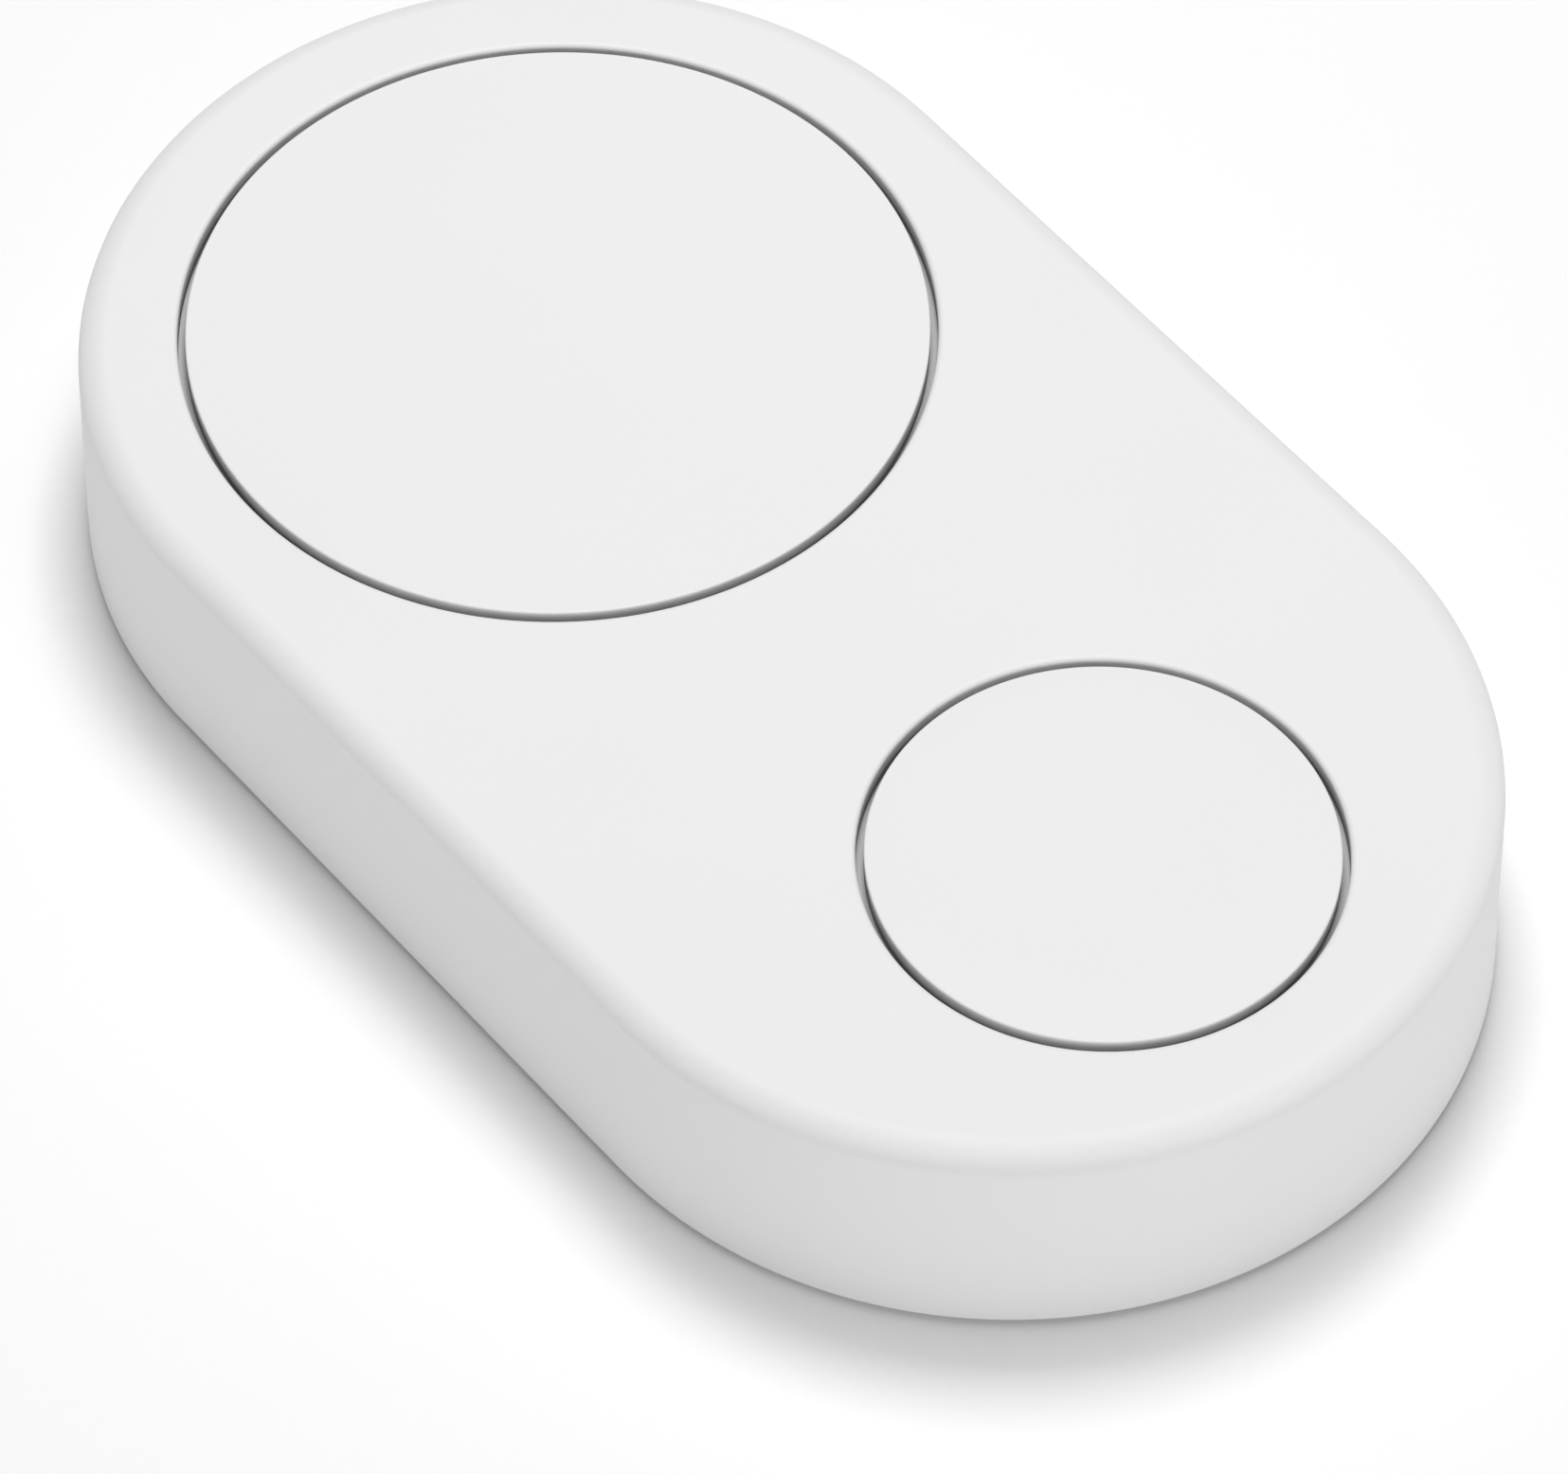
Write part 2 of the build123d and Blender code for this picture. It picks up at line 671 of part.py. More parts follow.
# Inner frame: wall, deck and ring round the cell, sleeves round the bosses, stakes through the board
frame_height = board_bottom - base_top
with BuildPart() as inner_frame:
    with BuildSketch(Plane.XY.offset(base_top)):
        SlotCenterToCenter(end_spacing, 2 * board_radius)
        SlotCenterToCenter(end_spacing, 2 * (board_radius - frame_wall), mode=Mode.SUBTRACT)
    extrude(amount=frame_height)
    with BuildSketch(Plane.XY.offset(base_top)):
        with Locations(*boss_places):
            Circle(boss_radius + boss_play + sleeve_wall)
        with Locations(*stake_places):
            Circle(stake_column_radius)
        with Locations((bulkhead_x, 0)):
            Rectangle(bulkhead_thickness, 2 * board_radius)
        with Locations((large_x, 0)):
            Circle(cell_ring_radius)
        SlotCenterToCenter(end_spacing, 2 * board_radius, mode=Mode.INTERSECT)
    extrude(amount=frame_height)
    with BuildSketch(Plane.XY.offset(tab_room_top)):
        SlotCenterToCenter(end_spacing, 2 * board_radius)
        with Locations((bulkhead_x, 0)):
            Rectangle(
                end_spacing + 2 * board_radius, 2 * board_radius,
                align=(Align.MAX, Align.CENTER), mode=Mode.INTERSECT,
            )
    extrude(amount=deck_thickness)
    with BuildSketch(Plane.XY.offset(board_bottom)):
        with Locations(*stake_places):
            Circle(stake_radius)
    extrude(amount=board_thickness)
    with BuildSketch(Plane.XY.offset(board_top)):
        with Locations(*stake_places):
            Circle(stake_head_radius)
    extrude(amount=stake_head_height)
    with BuildSketch(Plane.XY.offset(base_top)):
        with Locations((large_x, 0)):
            Circle(cell_radius + cell_pocket_play)
    extrude(amount=frame_height, mode=Mode.SUBTRACT)
    with BuildSketch(Plane.XY.offset(base_top)):
        with Locations((large_x, 0)):
            Circle(slot_radius + tab_room)
    extrude(amount=tab_room_top - base_top, mode=Mode.SUBTRACT)
    with BuildSketch(Plane.XY.offset(base_top)):
        BossFootprint(boss_play)
    extrude(amount=frame_height, mode=Mode.SUBTRACT)
    with BuildSketch(Plane.XY.offset(base_top)):
        with Locations((large_x + cell_radius, 0)):
            Rectangle(
                cell_ring_wall + bulkhead_offset - window_play, positive_width + 2 * window_play,
                align=(Align.MIN, Align.CENTER),
            )
    extrude(amount=frame_height, mode=Mode.SUBTRACT)
save(inner_frame, "inner_frame")


# Circuit board, with holes for the bosses and the stakes
with BuildPart() as circuit_board:
    with BuildSketch(Plane.XY.offset(board_bottom)):
        SlotCenterToCenter(end_spacing, 2 * board_radius)
        BossFootprint(boss_play, mode=Mode.SUBTRACT)
        with Locations(*stake_places):
            Circle(stake_radius + stake_play, mode=Mode.SUBTRACT)
    extrude(amount=board_thickness)
save(circuit_board, "circuit_board")


# Contacts: a finger that presses on the lid, and a leaf that stands against the can's side
half_sheet = contact_sheet / 2
finger_low = cell_top + contact_touch + half_sheet
with BuildPart() as negative_contact:
    with BuildSketch(Plane.XZ):
        with BuildLine():
            FilletPolyline(
                (large_x + finger_tail, board_bottom - half_sheet),
                (large_x + finger_root, board_bottom - half_sheet),
                (large_x - finger_tip, finger_low),
                (large_x - finger_tip - finger_toe, finger_low + finger_toe_rise),
                radius=finger_bend,
            )
        trace(line_width=contact_sheet)
    extrude(amount=negative_width / 2, both=True)
save(negative_contact, "negative_contact")

leaf_x = large_x + cell_radius + contact_touch + half_sheet
with BuildPart() as positive_contact:
    with BuildSketch(Plane.XZ):
        with BuildLine():
            FilletPolyline(
                (leaf_x + positive_tab, board_bottom - half_sheet), (leaf_x, board_bottom - half_sheet),
                (leaf_x, tab_room_top + deck_thickness),
                radius=contact_bend,
            )
        trace(line_width=contact_sheet)
    extrude(amount=positive_width / 2, both=True)
save(positive_contact, "positive_contact")


# Small parts soldered under the board
def soldered(places, size):
    length, width, height = size
    with BuildPart() as group:
        with BuildSketch(Plane.XY.offset(board_bottom - height)):
            with Locations(*[(bulkhead_x + x, y) for x, y in places]):
                Rectangle(length, width)
        extrude(amount=height)
    return group


save(soldered([chip_place], chip_size), "radio_chip")
save(soldered(crystal_places, crystal_size), "crystals")
save(soldered([buffer_place], buffer_size), "buffer_capacitor")
save(soldered(capacitor_places, capacitor_size), "ceramic_capacitors")
save(soldered(resistor_places, resistor_size), "chip_resistors")


# Antenna: a copper track that winds across the board's small end
ring_foot_edge = small_x + small_ring_radius + ring_spread + ring_foot_width / 2
antenna_start = ring_foot_edge + antenna_gap + antenna_track / 2
antenna_end = end_x + board_radius - antenna_inset
with BuildPart() as antenna_track_part:
    with BuildSketch(Plane.XY.offset(board_top)):
        with BuildLine():
            points = []
            for k in range(antenna_bends + 1):
                y = (k - antenna_bends / 2) * antenna_pitch
                ends = (antenna_start, antenna_end)
                near, far = ends if k % 2 else ends[::-1]
                points += [(near, y), (far, y)]
            Polyline(*points)
        trace(line_width=antenna_track)
    extrude(amount=antenna_sheet)
save(antenna_track_part, "antenna_track")
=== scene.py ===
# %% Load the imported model
from math import atan2, cos, degrees, hypot, pi, radians, sin

import bmesh
import bpy
from mathutils import Matrix, Vector


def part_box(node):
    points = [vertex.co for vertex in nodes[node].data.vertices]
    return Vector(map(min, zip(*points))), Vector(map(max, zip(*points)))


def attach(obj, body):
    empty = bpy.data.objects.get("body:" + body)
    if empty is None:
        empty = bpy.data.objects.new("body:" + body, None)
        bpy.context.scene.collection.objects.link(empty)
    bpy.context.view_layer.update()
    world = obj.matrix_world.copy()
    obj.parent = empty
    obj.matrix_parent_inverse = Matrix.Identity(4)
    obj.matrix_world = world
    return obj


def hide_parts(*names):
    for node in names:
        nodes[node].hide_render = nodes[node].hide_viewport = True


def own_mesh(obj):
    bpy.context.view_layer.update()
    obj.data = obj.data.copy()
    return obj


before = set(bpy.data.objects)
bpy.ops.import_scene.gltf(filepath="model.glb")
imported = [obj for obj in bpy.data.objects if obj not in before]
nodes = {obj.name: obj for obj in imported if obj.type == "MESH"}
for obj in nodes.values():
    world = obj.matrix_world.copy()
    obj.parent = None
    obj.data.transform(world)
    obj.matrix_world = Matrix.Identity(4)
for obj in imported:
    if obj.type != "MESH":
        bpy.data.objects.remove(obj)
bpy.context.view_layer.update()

# %% [markdown]
# ## Sizes
# The button is a flat pill: two half circles joined by straight sides, with one large and one small
# round press cap let into the top. Every size below is in millimetres and is turned into metres by MM.
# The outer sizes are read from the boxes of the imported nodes, so nothing has to be typed twice. What a
# box can't tell, such as the radius of an edge or the thickness of a flange, is a named value.

# %% Sizes
MM = 0.001
SIDE_DRAFT = 0.5  # degrees
TOP_EDGE_RADIUS = 1.1
FOOT_EDGE_RADIUS = 0.05
HOLE_EDGE_RADIUS = 0.22
CAP_EDGE_RADIUS = 0.08
BUTTON_GAP = 0.29
FLANGE_OVERLAP = 0.8
FLANGE_PLAY = 0.3
FLANGE_THICKNESS = 0.6
POST_LENGTH = 0.2
POST_RADIUS = 1.3

housing_low, housing_high = [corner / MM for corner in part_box("top_housing")]
base_low, base_high = [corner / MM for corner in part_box("base_cover")]
TOP = housing_high.z
RIM = housing_low.z
END_X = housing_high.x - housing_high.y
FOOT_RADIUS = housing_high.y
print(f"housing {2 * housing_high.x:.2f} by {2 * housing_high.y:.2f} by {TOP:.2f} mm, ends at {END_X:.2f}")


class Button:
    """Where one press cap sits and how large it is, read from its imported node."""

    def __init__(self, size, ring_radius, hub_radius):
        low, high = [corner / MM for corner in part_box(f"{size}_button_cap")]
        self.size = size
        self.flange_radius = (high.y - low.y) / 2
        self.x = low.x + self.flange_radius
        self.hole_radius = self.flange_radius - FLANGE_OVERLAP
        self.cap_radius = self.hole_radius - BUTTON_GAP
        self.pocket_radius = self.flange_radius + FLANGE_PLAY
        self.flange_bottom = low.z + POST_LENGTH
        self.flange_top = self.flange_bottom + FLANGE_THICKNESS
        self.ring_radius = ring_radius
        self.hub_radius = hub_radius


large = Button("large", 9.0, 3.0)
small = Button("small", 5.2, 1.9)
for button in (large, small):
    print(button.size, f"hole r {button.hole_radius:.2f}, cap r {button.cap_radius:.2f},",
          f"x {button.x:.2f} mm")

# %% [markdown]
# ## Camera
# The photograph was taken with a long lens from above and to one side, so the parallel sides of the
# button stay nearly parallel. A camera could be placed by eye, or led by an empty and a constraint.
# Here it is worked out from two angles and a distance, so each number says one thing, and the three
# directions of its matrix can be used again below to place the lamps as seen in the picture.

# %% Camera
PHOTO_WIDTH = 1655
CAMERA_TURN = radians(-38.4653)
CAMERA_HEIGHT = radians(51.1766)
CAMERA_ROLL = radians(-0.0621)
CAMERA_DISTANCE = 367.19 * MM
AIM_POINT = Vector((1.414, -0.920, RIM)) * MM
LENS_IN_PIXELS = 10656.33
SENSOR_WIDTH = 36.0
NEAR_CLIP = 10 * MM

backward = Vector((
    cos(CAMERA_HEIGHT) * cos(CAMERA_TURN),
    cos(CAMERA_HEIGHT) * sin(CAMERA_TURN),
    sin(CAMERA_HEIGHT),
))
picture_right = Vector((-sin(CAMERA_TURN), cos(CAMERA_TURN), 0))
picture_away = Vector((-cos(CAMERA_TURN), -sin(CAMERA_TURN), 0))
level_up = backward.cross(picture_right)
camera_right = cos(CAMERA_ROLL) * picture_right + sin(CAMERA_ROLL) * level_up
camera_up = cos(CAMERA_ROLL) * level_up - sin(CAMERA_ROLL) * picture_right
bpy.ops.object.camera_add()
camera = bpy.context.object
camera.name = "product_camera"
camera.matrix_world = Matrix.Translation(AIM_POINT + backward * CAMERA_DISTANCE) @ Matrix(
    (camera_right, camera_up, backward)
).transposed().to_4x4()
camera.data.sensor_width = SENSOR_WIDTH
camera.data.lens = LENS_IN_PIXELS * SENSOR_WIDTH / PHOTO_WIDTH
camera.data.clip_start = NEAR_CLIP
bpy.context.scene.camera = camera
print("camera at", [round(v / MM) for v in camera.matrix_world.translation],
      "mm, lens", round(camera.data.lens))

# %% [markdown]
# ## Helpers for materials
# A material is a small graph of nodes. Adding a node, setting its values and linking it are three steps
# by hand; one function does all three, so each material below reads as a list of what it is made of.
# Colours are written as sRGB hex, as a designer would note them, and turned to linear light once.

# %% Colours and nodes
packed_materials = len(bpy.data.materials)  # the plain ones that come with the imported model


def linear(hex_colour):
    """A colour written as sRGB hex, as the linear value that Blender computes with."""
    parts = [int(hex_colour[i:i + 2], 16) / 255 for i in (0, 2, 4)]
    return [p / 12.92 if p <= 0.04045 else ((p + 0.055) / 1.055) ** 2.4 for p in parts] + [1.0]


def add(tree, kind, values=None, links=None, **settings):
    """Adds one node with its settings, its socket values and its incoming links."""
    made = tree.nodes.new(kind)
    for name, value in settings.items():
        setattr(made, name, value)
    for socket, value in (values or {}).items():
        made.inputs[socket].default_value = value
    for socket, source in (links or {}).items():
        tree.links.new(source, made.inputs[socket])
    return made


def new_material(name):
    """An empty node material and its tree."""
    material = bpy.data.materials.new(name)
    material.use_nodes = True
    material.node_tree.nodes.clear()
    return material, material.node_tree


def per_metre(size_in_mm):
    """The scale of a texture whose grains are this large."""
    return 1 / (size_in_mm * MM)


# %% [markdown]
# ## Moulded white plastic
# The housing and both caps are injection moulded from white ABS in a spark-eroded mould, which leaves
# an even, very fine matte grain and no gloss. It could be a single pale colour, but then the flat top
# looks like paper. Two noises make it plastic: a wide, faint one for the flow of the resin, and a fine
# one that raises the grain by bump and varies the roughness with it.

# %% Moulded plastic
RESIN_IOR = 1.53
RESIN_GLOSS_SPREAD = 0.06


def moulded_plastic(name, colour, flow_colour, roughness, grain, depth, flow=9.0):
    """Matte injection-moulded resin: the grain's size and depth and the flow marks are in millimetres."""
    material, tree = new_material(name)
    place = add(tree, "ShaderNodeTexCoord").outputs["Object"]
    flow_marks = add(tree, "ShaderNodeTexNoise", {"Scale": per_metre(flow), "Detail": 2.0},
                     {"Vector": place}).outputs["Fac"]
    tone = add(tree, "ShaderNodeMix", {6: linear(colour), 7: linear(flow_colour)}, {0: flow_marks},
               data_type="RGBA")
    grains = add(tree, "ShaderNodeTexNoise", {"Scale": per_metre(grain), "Detail": 3.0},
                 {"Vector": place}).outputs["Fac"]
    gloss = add(tree, "ShaderNodeMapRange", {
        "To Min": roughness - RESIN_GLOSS_SPREAD, "To Max": roughness + RESIN_GLOSS_SPREAD,
    }, {"Value": grains})
    bump = add(tree, "ShaderNodeBump", {"Strength": 1.0, "Distance": depth * MM}, {"Height": grains})
    skin = add(tree, "ShaderNodeBsdfPrincipled", {"IOR": RESIN_IOR}, {
        "Base Color": tone.outputs[2], "Roughness": gloss.outputs[0], "Normal": bump.outputs[0]})
    add(tree, "ShaderNodeOutputMaterial", links={"Surface": skin.outputs[0]})
    return material, tree, tone, skin


# White ABS: even and matte to the eye, with no highlight. The real grain is about 0.05 mm wide and is
# drawn three times as coarse so that it shows in a picture of this size.
WHITE_SKIN = ("ECECEC", "EAEAEA", 0.6, 0.15, 0.004)
housing_abs = moulded_plastic("white_abs_housing", *WHITE_SKIN)[0]
cap_abs = moulded_plastic("white_abs_caps", *WHITE_SKIN)[0]
# The base is the same resin, drawn coarser and a little greyer, as a side that nobody looks at.
base_abs = moulded_plastic("white_abs_base", "E4E4E3", "E0E0DF", 0.66, 0.2, 0.008)[0]
# The door is drawn a shade brighter and smoother than the base, so that the two read as two mouldings.
door_abs = moulded_plastic("white_abs_door", "E6E6E5", "E2E2E1", 0.62, 0.18, 0.006)[0]
# Glass-filled nylon: near black and dull, with the faint mottle that short fibres leave.
nylon = moulded_plastic("glass_filled_nylon_frame", "232326", "2B2B2E", 0.55, 0.3, 0.01, 4.0)[0]
# Switch resin: black, with a finer and smoother skin than the nylon.
switch_resin = moulded_plastic("black_switch_resin", "1B1B1D", "222224", 0.5, 0.12, 0.004, 2.0)[0]
# Acetal: a slippery red with a soft highlight.
plunger_resin = moulded_plastic("red_acetal_plunger", "B8362A", "A92F24", 0.38, 0.1, 0.002, 1.5)[0]
# Chip epoxy: charcoal, matte and finely sandy.
chip_epoxy = moulded_plastic("black_chip_epoxy", "19191B", "202022", 0.62, 0.08, 0.004, 1.0)[0]
# Polypropylene: mid grey with a waxy gloss.
gasket_resin = moulded_plastic("grey_polypropylene_gasket", "55565A", "4C4D51", 0.45, 0.2, 0.003, 3.0)[0]
# Capacitor epoxy: mustard yellow and half matte.
capacitor_epoxy = moulded_plastic("yellow_capacitor_epoxy", "D39A2B", "C68C22", 0.5, 0.1, 0.003, 1.2)[0]
print("materials so far:", len(bpy.data.materials) - packed_materials)

# %% [markdown]
# ## The walls of the gap
# Round each cap runs a gap 0.29 mm wide. In the photograph it is darker than plain white walls so close
# together would render, so its walls get a tone that greys with depth. That tone is fitted to the picture
# and stands in for light that the real gap loses; the real walls may well be as white as the top. A
# separate colour per face would leave a hard line at the rounded edge, so a ramp on the height gives it.

# %% Gap walls
# Painted shade on the gap's walls: how far down they stay white, and how grey they get with depth.
GAP_UNSHADED_SHARE = 0.11  # share of the gap's depth that stays as white as the top
GAP_SHADE_TONES = ((0.50, "DCDCDC"), (0.68, "7C7C7C"), (0.9, "7C7C7C"))  # grey at a share of the depth
GAP_SHADE_END_TONE = "DADADA"


def painted_shade_gap_plastic(name):
    """White plastic with painted shade that greys with the depth below the top, for the faces of the gap."""
    material, tree, tone, skin = moulded_plastic(name, *WHITE_SKIN)
    place = add(tree, "ShaderNodeTexCoord").outputs["Object"]
    height = add(tree, "ShaderNodeSeparateXYZ", links={"Vector": place}).outputs["Z"]
    depth = add(tree, "ShaderNodeMapRange", {
        "From Min": TOP * MM, "From Max": large.flange_top * MM}, {"Value": height})
    ramp = add(tree, "ShaderNodeValToRGB", links={"Fac": depth.outputs[0]})
    stops = ramp.color_ramp.elements
    stops[0].position, stops[0].color = GAP_UNSHADED_SHARE, (1, 1, 1, 1)
    stops[1].position, stops[1].color = 1.0, linear(GAP_SHADE_END_TONE)
    for position, colour in GAP_SHADE_TONES:
        stops.new(position).color = linear(colour)
    # The painted shade multiplies the plastic's own tone.
    painted_shade = add(tree, "ShaderNodeMix", {0: 1.0}, {6: tone.outputs[2], 7: ramp.outputs["Color"]},
                 data_type="RGBA", blend_type="MULTIPLY")
    tree.links.new(painted_shade.outputs[2], skin.inputs["Base Color"])
    return material


# Painted shade: white at the lip and darker halfway down, where the light doesn't reach into the gap.
gap_wall_painted_shade = painted_shade_gap_plastic("white_abs_gap_walls_painted_shade")
print("gap from", round(TOP, 2), "down to", round(large.flange_top, 2), "mm")

# %% [markdown]
# ## Rubber, foam and powder
# The foot ring, the return rings and the seal are moulded silicone: dull, slightly dusty and soft at the
# edges. The pad under the coin cell is closed-cell foam, and inside the cell lies pressed powder. They
# are the same graph with other grains, because what tells them apart is the size of what breaks the light.

# %% Rubber, foam and powder
SILICONE_IOR = 1.41
LIGHT_REACH = 0.6  # mm that light travels inside silicone
BLOOM_GRAINS = 6  # a patch of bloom is this many grains wide
BLOOM_FROM, BLOOM_TO = 0.35, 0.75  # part of the noise over which the bloom comes in


def soft_solid(name, colour, bloom, roughness, grain, depth, sheen=0.0, subsurface=0.0):
    """Silicone, foam or powder: a dusty bloom over the colour and a soft grain in millimetres."""
    material, tree = new_material(name)
    place = add(tree, "ShaderNodeTexCoord").outputs["Object"]
    dust = add(tree, "ShaderNodeTexNoise", {"Scale": per_metre(BLOOM_GRAINS * grain), "Detail": 6.0},
               {"Vector": place}).outputs["Fac"]
    spread = add(tree, "ShaderNodeMapRange", {"From Min": BLOOM_FROM, "From Max": BLOOM_TO}, {"Value": dust})
    tone = add(tree, "ShaderNodeMix", {6: linear(colour), 7: linear(bloom)}, {0: spread.outputs[0]},
               data_type="RGBA")
    pores = add(tree, "ShaderNodeTexVoronoi", {"Scale": per_metre(grain)}, {"Vector": place})
    bump = add(tree, "ShaderNodeBump", {"Strength": 1.0, "Distance": depth * MM},
               {"Height": pores.outputs["Distance"]})
    skin = add(tree, "ShaderNodeBsdfPrincipled", {
        "Roughness": roughness, "IOR": SILICONE_IOR, "Sheen Weight": sheen, "Subsurface Weight": subsurface,
        "Subsurface Scale": LIGHT_REACH * MM,
    }, {"Base Color": tone.outputs[2], "Normal": bump.outputs[0]})
    add(tree, "ShaderNodeOutputMaterial", links={"Surface": skin.outputs[0]})
    return material


# The foot: a dull grey, dusty where it is seen at a low angle.
foot_silicone = soft_solid("grey_silicone_foot", "A3A5A8", "AEB0B2", 0.72, 0.12, 0.004, sheen=0.15)
# The return rings: milky, because light soaks a little way in.
return_silicone = soft_solid("milky_silicone_return", "D2D4D6", "DADCDD", 0.5, 0.2, 0.003, subsurface=0.25)
# The seal: near black and dull.
seal_silicone = soft_solid("black_silicone_seal", "3C3C3E", "454547", 0.65, 0.15, 0.003, sheen=0.1)
# The foam: black, with small dark pores and no highlight.
cell_foam = soft_solid("black_cell_foam", "29292B", "343436", 0.9, 0.25, 0.05)
# The powder: dark grey and dead matte. Its real grains are finer and are drawn 0.06 mm wide.
cell_powder = soft_solid("pressed_electrode_powder", "333333", "3B3B3B", 0.95, 0.06, 0.01)
print("materials so far:", len(bpy.data.materials) - packed_materials)

# %% [markdown]
# ## Metals
# Sheet parts are stamped from rolled strip, so fine lines run along the strip; the coin cell's can and
# lid are drawn and tumbled, so their lines run round. A metal takes its colour from its reflection: the
# base colour tints it, and only the roughness and a faint bump say how it was worked. Stretched noise
# makes the rolling lines, and rings round the axis make the turned ones.

# %% Metals
WAVE_PERIOD = pi / 10  # period of a wave texture whose scale is one
METAL_RELIEF = 0.001  # mm
ROLLED_STRETCH = (1, 40, 40)  # a rolling line is this many times as long as it is wide


def bare_metal(tree, colour, dullest, shiniest, lines):
    """Bare metal, which is all reflection: its colour tints it and the worked lines are a hair deep."""
    gloss = add(tree, "ShaderNodeMapRange", {"To Min": shiniest, "To Max": dullest}, {"Value": lines})
    bump = add(tree, "ShaderNodeBump", {"Strength": 1.0, "Distance": METAL_RELIEF * MM}, {"Height": lines})
    skin = add(tree, "ShaderNodeBsdfPrincipled", {"Base Color": linear(colour), "Metallic": 1.0}, {
        "Roughness": gloss.outputs[0], "Normal": bump.outputs[0]})
    add(tree, "ShaderNodeOutputMaterial", links={"Surface": skin.outputs[0]})


def rolled_metal(name, colour, roughness, line):
    """Rolled and plated strip: lines of the given spacing in millimetres, drawn out along X."""
    material, tree = new_material(name)
    place = add(tree, "ShaderNodeTexCoord").outputs["Object"]
    drawn = add(tree, "ShaderNodeMapping", {"Scale": ROLLED_STRETCH}, {"Vector": place})
    lines = add(tree, "ShaderNodeTexNoise", {"Scale": per_metre(line * max(ROLLED_STRETCH)), "Detail": 5.0},
                {"Vector": drawn.outputs[0]}).outputs["Fac"]
    bare_metal(tree, colour, roughness + 0.1, roughness - 0.08, lines)
    return material


def turned_metal(name, colour, roughness, axis_x, line):
    """Drawn or turned metal with rings of the given spacing round an upright axis."""
    material, tree = new_material(name)
    place = add(tree, "ShaderNodeTexCoord").outputs["Object"]
    centred = add(tree, "ShaderNodeMapping", {"Location": (-axis_x * MM, 0, 0)}, {"Vector": place})
    rings = add(tree, "ShaderNodeTexWave", {
        "Scale": per_metre(line) * WAVE_PERIOD, "Distortion": 1.5, "Detail": 2.0,
    }, {"Vector": centred.outputs[0]}, wave_type="RINGS", rings_direction="Z").outputs["Fac"]
    bare_metal(tree, colour, roughness + 0.07, roughness - 0.05, rings)
    return material


# The lines of real strip are finer than this picture can show, so they are drawn coarser than real.
# Screws: nickel, bright and faintly warm, dull enough that the cross recess stays readable.
screw_nickel = rolled_metal("nickel_plated_screw_steel", "C3C1BB", 0.36, 0.05)
# Switch sheet: cool bright steel.
switch_steel = rolled_metal("stainless_switch_sheet", "BFC0C2", 0.3, 0.04)
# Leads: tin, pale and a little yellow.
lead_tin = rolled_metal("tinned_brass_leads", "C9C5B8", 0.35, 0.05)
# Contacts: a thin gold flash, warm and shiny.
contact_nickel = rolled_metal("gold_flashed_contact_sheet", "D9BE86", 0.25, 0.04)
# Crystal lids: plain grey nickel.
crystal_nickel = rolled_metal("nickel_crystal_lid", "BDBCB8", 0.3, 0.03)
# Antenna: bare copper, reddish and half matte from the etching.
etched_copper = rolled_metal("etched_copper_track", "C77B4E", 0.4, 0.06)
# Cell: polished nickel with fine rings that make the highlight fan out.
cell_nickel = turned_metal("nickel_plated_cell_steel", "C6C5C2", 0.26, large.x, 0.1)
print("materials so far:", len(bpy.data.materials) - packed_materials)

# %% [markdown]
# ## Circuit board and ceramic parts
# The board is woven glass in resin under a green solder mask, and the weave shows through the mask as a
# fine check. Two wave textures at right angles give the check with no picture. The small parts are fired
# ceramic, brown or glazed black, with a slightly speckled body.

# %% Board and ceramics
MASK_ROUGHNESS = 0.32
MASK_IOR = 1.5
MASK_COAT = 0.4
WEAVE_RELIEF = 0.004  # mm
CERAMIC_IOR = 1.7
SPECK_GRAIN = 0.08  # mm
SPECK_RELIEF = 0.003  # mm


def laminate(name, mask, weave_colour, thread):
    """Solder mask over glass cloth; the threads are this many millimetres apart."""
    material, tree = new_material(name)
    place = add(tree, "ShaderNodeTexCoord").outputs["Object"]
    waves = [
        add(tree, "ShaderNodeTexWave", {"Scale": per_metre(thread) * WAVE_PERIOD}, {"Vector": place},
            wave_type="BANDS", bands_direction=direction)
        for direction in ("X", "Y")
    ]
    check = add(tree, "ShaderNodeMath", links={0: waves[0].outputs["Fac"], 1: waves[1].outputs["Fac"]},
                operation="MULTIPLY").outputs[0]
    tone = add(tree, "ShaderNodeMix", {6: linear(mask), 7: linear(weave_colour)}, {0: check},
               data_type="RGBA")
    bump = add(tree, "ShaderNodeBump", {"Strength": 1.0, "Distance": WEAVE_RELIEF * MM}, {"Height": check})
    skin = add(tree, "ShaderNodeBsdfPrincipled", {
        "Roughness": MASK_ROUGHNESS, "IOR": MASK_IOR, "Coat Weight": MASK_COAT,
    }, {"Base Color": tone.outputs[2], "Normal": bump.outputs[0]})
    add(tree, "ShaderNodeOutputMaterial", links={"Surface": skin.outputs[0]})
    return material


def fired_ceramic(name, colour, speck_colour, roughness):
    """Fired ceramic body with a fine speckle."""
    material, tree = new_material(name)
    place = add(tree, "ShaderNodeTexCoord").outputs["Object"]
    specks = add(tree, "ShaderNodeTexNoise", {"Scale": per_metre(SPECK_GRAIN), "Detail": 4.0},
                 {"Vector": place}).outputs["Fac"]
    tone = add(tree, "ShaderNodeMix", {6: linear(colour), 7: linear(speck_colour)}, {0: specks},
               data_type="RGBA")
    bump = add(tree, "ShaderNodeBump", {"Strength": 1.0, "Distance": SPECK_RELIEF * MM}, {"Height": specks})
    skin = add(tree, "ShaderNodeBsdfPrincipled", {"Roughness": roughness, "IOR": CERAMIC_IOR}, {
        "Base Color": tone.outputs[2], "Normal": bump.outputs[0]})
    add(tree, "ShaderNodeOutputMaterial", links={"Surface": skin.outputs[0]})
    return material


